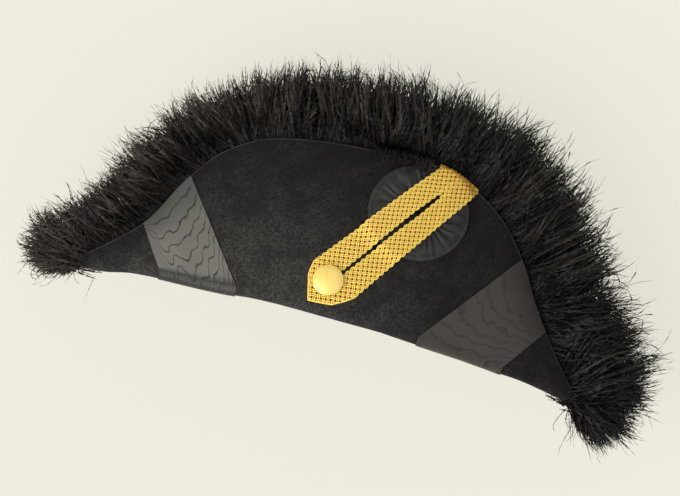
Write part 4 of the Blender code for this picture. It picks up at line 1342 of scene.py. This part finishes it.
def gathered(lines, each, pull):
    """Draws the flues of each lock together towards its tip."""
    count = len(lines) // each
    middle = lines.reshape(count, each, FLUE_STEPS + 1, 3).mean(axis=1)
    ahead = np.repeat(unit(np.gradient(middle, axis=1)), each, axis=0)
    gap = np.repeat(middle, each, axis=0) - lines
    gap -= (gap * ahead).sum(-1, keepdims=True) * ahead
    t = np.linspace(0, 1, FLUE_STEPS + 1)[None, :, None]
    return lines + gap * pull[:, None, None] * t**1.4


def within_reach(lines):
    """Shortens the flues that would leave the room round the frame's box."""
    laid = laid_down(lines)
    low, high = (np.array(corner) for corner in CAD_BOX)
    room = 0.03 * (high - low) + BOX_ROOM
    away = laid - laid[:, :1]
    room_there = np.where(away > 0, high + room - laid[:, :1], laid[:, :1] - low + room)
    share = room_there / np.maximum(np.abs(away), 1e-9)
    kept = np.clip(share.min(axis=(1, 2)), 0, 1)[:, None, None]
    return lines[:, :1] + (lines - lines[:, :1]) * kept


def single_flues(side, rng):
    """The few long flues that hang alone below the tips: lines, tone, fullness."""
    share, z, way, length, curl = np.array(SINGLES).T
    x = x_at(share)
    base = np.stack([x, side * 0.5 * edge_half_width(x), z], -1)
    heading = turning(np.radians(way), 0 * x, curl, 0.05 + 0 * x, rng)
    lines = grown(base, float(side), heading, 0 * heading, length)
    return lines, 0 * x, 0 * x + 0.35


def sewn_locks(along, side, rng, hat):
    """Flues of the locks that start at these shares of the edge: lines, tone, fullness."""
    count, each = len(along), hat.flues
    x, z, direction, reach = border_at(along)
    fan = (along < 0) | (along > 1)
    inwards = np.where(along < 0.5, 1.0, -1.0)
    wander = np.array([noise.noise(Vector((a * 30, side * 3.0, 0.5))) for a in along])
    lean = np.radians(np.interp(along, *LEAN))
    lean = np.where(fan, 0.0, lean * np.clip(np.minimum(along, 1 - along) / 0.08, 0, 1))
    fuller = np.interp(along, PLUME_FULLER[0], PLUME_FULLER[1])
    angle = np.radians(direction) + lean + np.where(fan, 0.22, 0.60) * wander
    angle = np.clip(angle + rng.normal(0, 0.17, count), *np.radians(FAN_LIMITS))
    table = np.array(PLUMES)
    for past_tip, of_fan in ((along < 0, table[:, 0] <= 0), (along > 1, table[:, 0] >= 1)):
        rows = table[of_fan]
        rows = rows[np.argsort(rows[:, 1])]
        there = np.interp(np.degrees(angle), rows[:, 1], rows[:, 2]) * PLUME_REACH
        reach = np.where(past_tip, there, reach)
    level = rng.uniform(-1, 1, count)
    long = reach * fuller * rng.uniform(0.90, 1.12, count)
    long = long * np.where(rng.random(count) < 0.12, 1.12, 1.0)
    swing = rng.normal(0, 0.25, count) + 0.35 * lean
    facing = np.clip((-inwards * np.cos(angle) - 0.93) / 0.07, 0, 1)
    set_back = np.where(fan & (level < 0), FAN_DEPTH * facing * rng.uniform(0, 1, count), 0.0)
    # Painted light along the edge, browner on the left, plus a random tone for each lock.
    tone = np.interp(along, *PAINTED_LIGHT_ALONG) + rng.normal(0, 0.18, count)

    lock = np.repeat(np.arange(count), each)
    total = len(lock)
    stray = rng.random(total) < 0.07
    loose = np.where(stray, 2.2, 1.0)
    start = (angle - 0.5 * swing)[lock] + rng.normal(0, 0.16, total) * loose
    lower = np.clip(level, -1, 0)[lock]
    depth = rng.uniform(0.0005, 0.0035, total) - 0.006 * lower
    here_x = x[lock] + (inwards * set_back)[lock]
    inside = edge_half_width(here_x) - FELT - 2 * GAP - rng.uniform(0, 0.0016, total)
    base = np.stack([here_x, side * inside, z[lock]], -1)
    along_edge = np.stack([-np.sin(start), 0 * start, np.cos(start)], -1)
    outwards = np.stack([np.cos(start), 0 * start, np.sin(start)], -1)
    base = base + along_edge * rng.normal(0, 0.0035, total)[:, None]
    base = base - outwards * depth[:, None]
    length = (long + 0.6 * set_back)[lock] * (1 - 0.40 * rng.random(total) ** 2.0)
    length = length * (1 + 0.22 * level[lock] ** 2) * np.where(stray, 1.12, 1.0) + depth

    curled = rng.random(total) < np.interp(along, *CURLED)[lock]
    curled &= (np.sin(angle) > -0.35)[lock]
    way = np.where(rng.random(total) < 0.7, inwards[lock], -inwards[lock])
    curl = np.where(curled, way * rng.uniform(1.6, 4.2, total), rng.normal(0, 0.45, total) * loose)
    frizz = rng.uniform(0.05, 0.22, total) * loose
    heading = turning(start, swing[lock] + rng.normal(0, 0.14, total) * loose, curl, frizz, rng)
    t = FLUE_SHARES
    low, high = braid_crosses()
    beside = np.clip(np.minimum(along, 1 - along) / 0.10, 0.2, 1)
    if side < 0:
        beside = beside * np.clip(np.maximum(low - along, along - high) / 0.03, 0.1, 1)
    arch = 1.15 * np.sin(2 * math.pi * np.clip(t - 0.05, 0, 1))
    over = (np.clip(level, 0, 1) * beside)[lock][:, None] * arch
    under = lower[:, None] * (0.95 * np.cos(math.pi * t) + 0.40 * t)
    wave = np.cumsum(rng.normal(0, 0.06, (total, FLUE_STEPS)), axis=1)
    lines = grown(base, float(side), heading, over + under + wave, length)
    pull = np.where(stray, 0.0, rng.uniform(0.35, 0.85, count)[lock])
    lines = within_reach(gathered(lines, each, pull))
    fullness = np.where(stray, 0.35, 1.0) * np.where(curled, 0.6, 1.0)
    fullness = fullness * rng.uniform(0.6, 1.15, total)
    return lines, tone[lock] + rng.normal(0, 0.16, total), fullness


def drooping_flues(side, rng):
    """Flues that hang over the near edge beside the braid: lines, tone, fullness."""
    along = rng.uniform(DROOP_STARTS, braid_crosses()[0] - 0.012, DROOPING)
    x, z, direction, _ = border_at(along)
    start = np.radians(direction) + rng.normal(-0.15, 0.25, DROOPING)
    inside = edge_half_width(x) - FELT - 2 * GAP
    base = np.stack([x, side * inside, z], -1)
    length = rng.uniform(0.016, 0.034, DROOPING)
    swing, curl = rng.normal(0, 0.5, DROOPING), rng.normal(0, 1.0, DROOPING)
    heading = turning(start, swing, curl, 0.2 + 0 * x, rng)
    t = FLUE_SHARES
    fold = rng.uniform(2.5, 3.0, DROOPING)[:, None]
    lift = fold * np.clip(t / 0.6, 0, 1) ** 0.9
    lines = grown(base, float(side), heading, lift, length)
    tone = np.clip(rng.normal(0.05, 0.12, DROOPING), 0, 1)
    return lines, tone, rng.uniform(0.3, 0.9, DROOPING)


class HAT_OT_feathers(bpy.types.Operator):
    """Ostrich feather along the inside of both leaves, fanned round the tips"""

    bl_idname = "cocked_hat.feathers"
    bl_label = "Feathers"

    def execute(self, context):
        hat = settings()
        material = feather_material()
        first, middle, last = PLUMES[0][0], 0.5, PLUMES[-1][0]
        for border, side in (("near", -1), ("far", 1)):
            rng = np.random.default_rng(SEED + 5 + side)
            at = np.arange(hat.locks) + rng.uniform(0, 1, hat.locks)
            along = first + (last - first) * at / hat.locks
            for half, low, high in (("left", first, middle), ("right", middle, last)):
                chosen = along[(along >= low) & (along < high)]
                flues = [sewn_locks(chosen, side, rng, hat)]
                if border == "near" and half == "right":
                    flues += [drooping_flues(side, rng), single_flues(side, rng)]
                lines, tone, fullness = (np.concatenate(part) for part in zip(*flues))
                name = f"plume_{border}_{half}"
                tone = np.clip(tone, 0, 1)
                mesh = feather_mesh(name, lines, tone, fullness, rng, hat.barbules)
                add_piece(name, mesh, material, (f"feather_border_{border}",))
        return {"FINISHED"}


# Stage


def broad_light(name, towards, spread, strength, colour):
    """Soft light that falls evenly from one side."""
    data = bpy.data.lights.new(name, "SUN")
    data.angle = spread
    data.energy = strength
    data.color = colour
    made = placed(name, data)
    made.rotation_mode = "QUATERNION"
    made.rotation_quaternion = Vector(towards).to_track_quat("-Z", "Y")


class HAT_OT_stage(bpy.types.Operator):
    """Pale floor, soft light and a camera square on to the cockade side"""

    bl_idname = "cocked_hat.stage"
    bl_label = "Stage"

    def execute(self, context):
        hat = settings()
        mesh = bpy.data.meshes.new("floor")
        corners = np.array([(-1, -1, 0), (1, -1, 0), (1, 1, 0), (-1, 1, 0)]) * FLOOR_HALF
        mesh.from_pydata(corners.tolist(), [], [(0, 1, 2, 3)])
        floor = placed("floor", mesh)
        colour = tuple(hat.floor_colour)
        matte = tuple(value * (1 - hat.floor_glow) / FLOOR_LIGHT for value in colour)
        graph = Graph(
            "floor_paper", Roughness=1.0, Specular_IOR_Level=0.0, Emission_Strength=hat.floor_glow
        )
        grain = graph.noise(graph.place(), 0.4, 2.0)
        graph.set("Base Color", graph.mix(grain, matte, tuple(0.98 * value for value in matte)))
        graph.shader.inputs["Emission Color"].default_value = (*colour, 1.0)
        mesh.materials.append(graph.material)

        world = bpy.data.worlds.new("soft_room")
        context.scene.world = world
        world.use_nodes = True
        background = world.node_tree.nodes["Background"]
        background.inputs["Color"].default_value = FILL_COLOUR
        background.inputs["Strength"].default_value = hat.fill_strength
        broad_light("key", KEY_TOWARDS, KEY_SPREAD, hat.key_strength, KEY_COLOUR)
        context.scene.view_settings.view_transform = "Standard"
        context.scene.view_settings.look = "None"

        tilt_up = Vector((0.0, math.cos(REST_TILT), -math.sin(REST_TILT)))
        back = Vector((0.0, math.sin(REST_TILT), math.cos(REST_TILT)))
        along = Vector((1.0, 0.0, 0.0))
        sine, cosine = math.sin(PICTURE_TURN), math.cos(PICTURE_TURN)
        right = along * cosine + tilt_up * sine
        up = tilt_up * cosine - along * sine
        from_tip = Vector((PICTURE_WIDTH / 2, PICTURE_HEIGHT / 2)) - Vector(LEFT_TIP_PIXEL)
        left_tip = Vector((MIDDLE_X - HEAD_CENTRE * LENGTH, MIDDLE_Y, MIDDLE_Z))
        target = left_tip + (right * from_tip.x - up * from_tip.y) * METRES_PER_PIXEL
        data = bpy.data.cameras.new("camera")
        data.sensor_width = SENSOR
        data.lens = SENSOR * CAMERA_DISTANCE / (PICTURE_WIDTH * METRES_PER_PIXEL)
        data.clip_end = 50.0
        camera = placed("camera", data)
        turn = Matrix((right, up, back)).transposed().to_4x4()
        camera.matrix_world = Matrix.Translation(target + back * CAMERA_DISTANCE) @ turn
        context.scene.camera = camera
        return {"FINISHED"}


# Panel and running


class HAT_PT_panel(bpy.types.Panel):
    """Sizes, colours and steps of the cocked hat"""

    bl_idname = "HAT_PT_panel"
    bl_label = "Cocked Hat"
    bl_space_type = "VIEW_3D"
    bl_region_type = "UI"
    bl_category = "Cocked Hat"

    def draw(self, context):
        for name in HatSettings.__annotations__:
            self.layout.prop(context.scene.cocked_hat, name)
        for step in STEPS:
            self.layout.operator(step.bl_idname)


STEPS = (
    HAT_OT_stage,
    HAT_OT_felt,
    HAT_OT_ribbons,
    HAT_OT_cockade,
    HAT_OT_braid,
    HAT_OT_button,
    HAT_OT_feathers,
)


def register():
    for made in (HatSettings, *STEPS, HAT_PT_panel):
        bpy.utils.register_class(made)
    bpy.types.Scene.cocked_hat = PointerProperty(type=HatSettings)


def unregister():
    del bpy.types.Scene.cocked_hat
    for made in reversed((HatSettings, *STEPS, HAT_PT_panel)):
        bpy.utils.unregister_class(made)


def main():
    register()
    for step in STEPS:
        getattr(bpy.ops.cocked_hat, step.bl_idname.split(".")[1])()


if __name__ == "__main__":
    main()
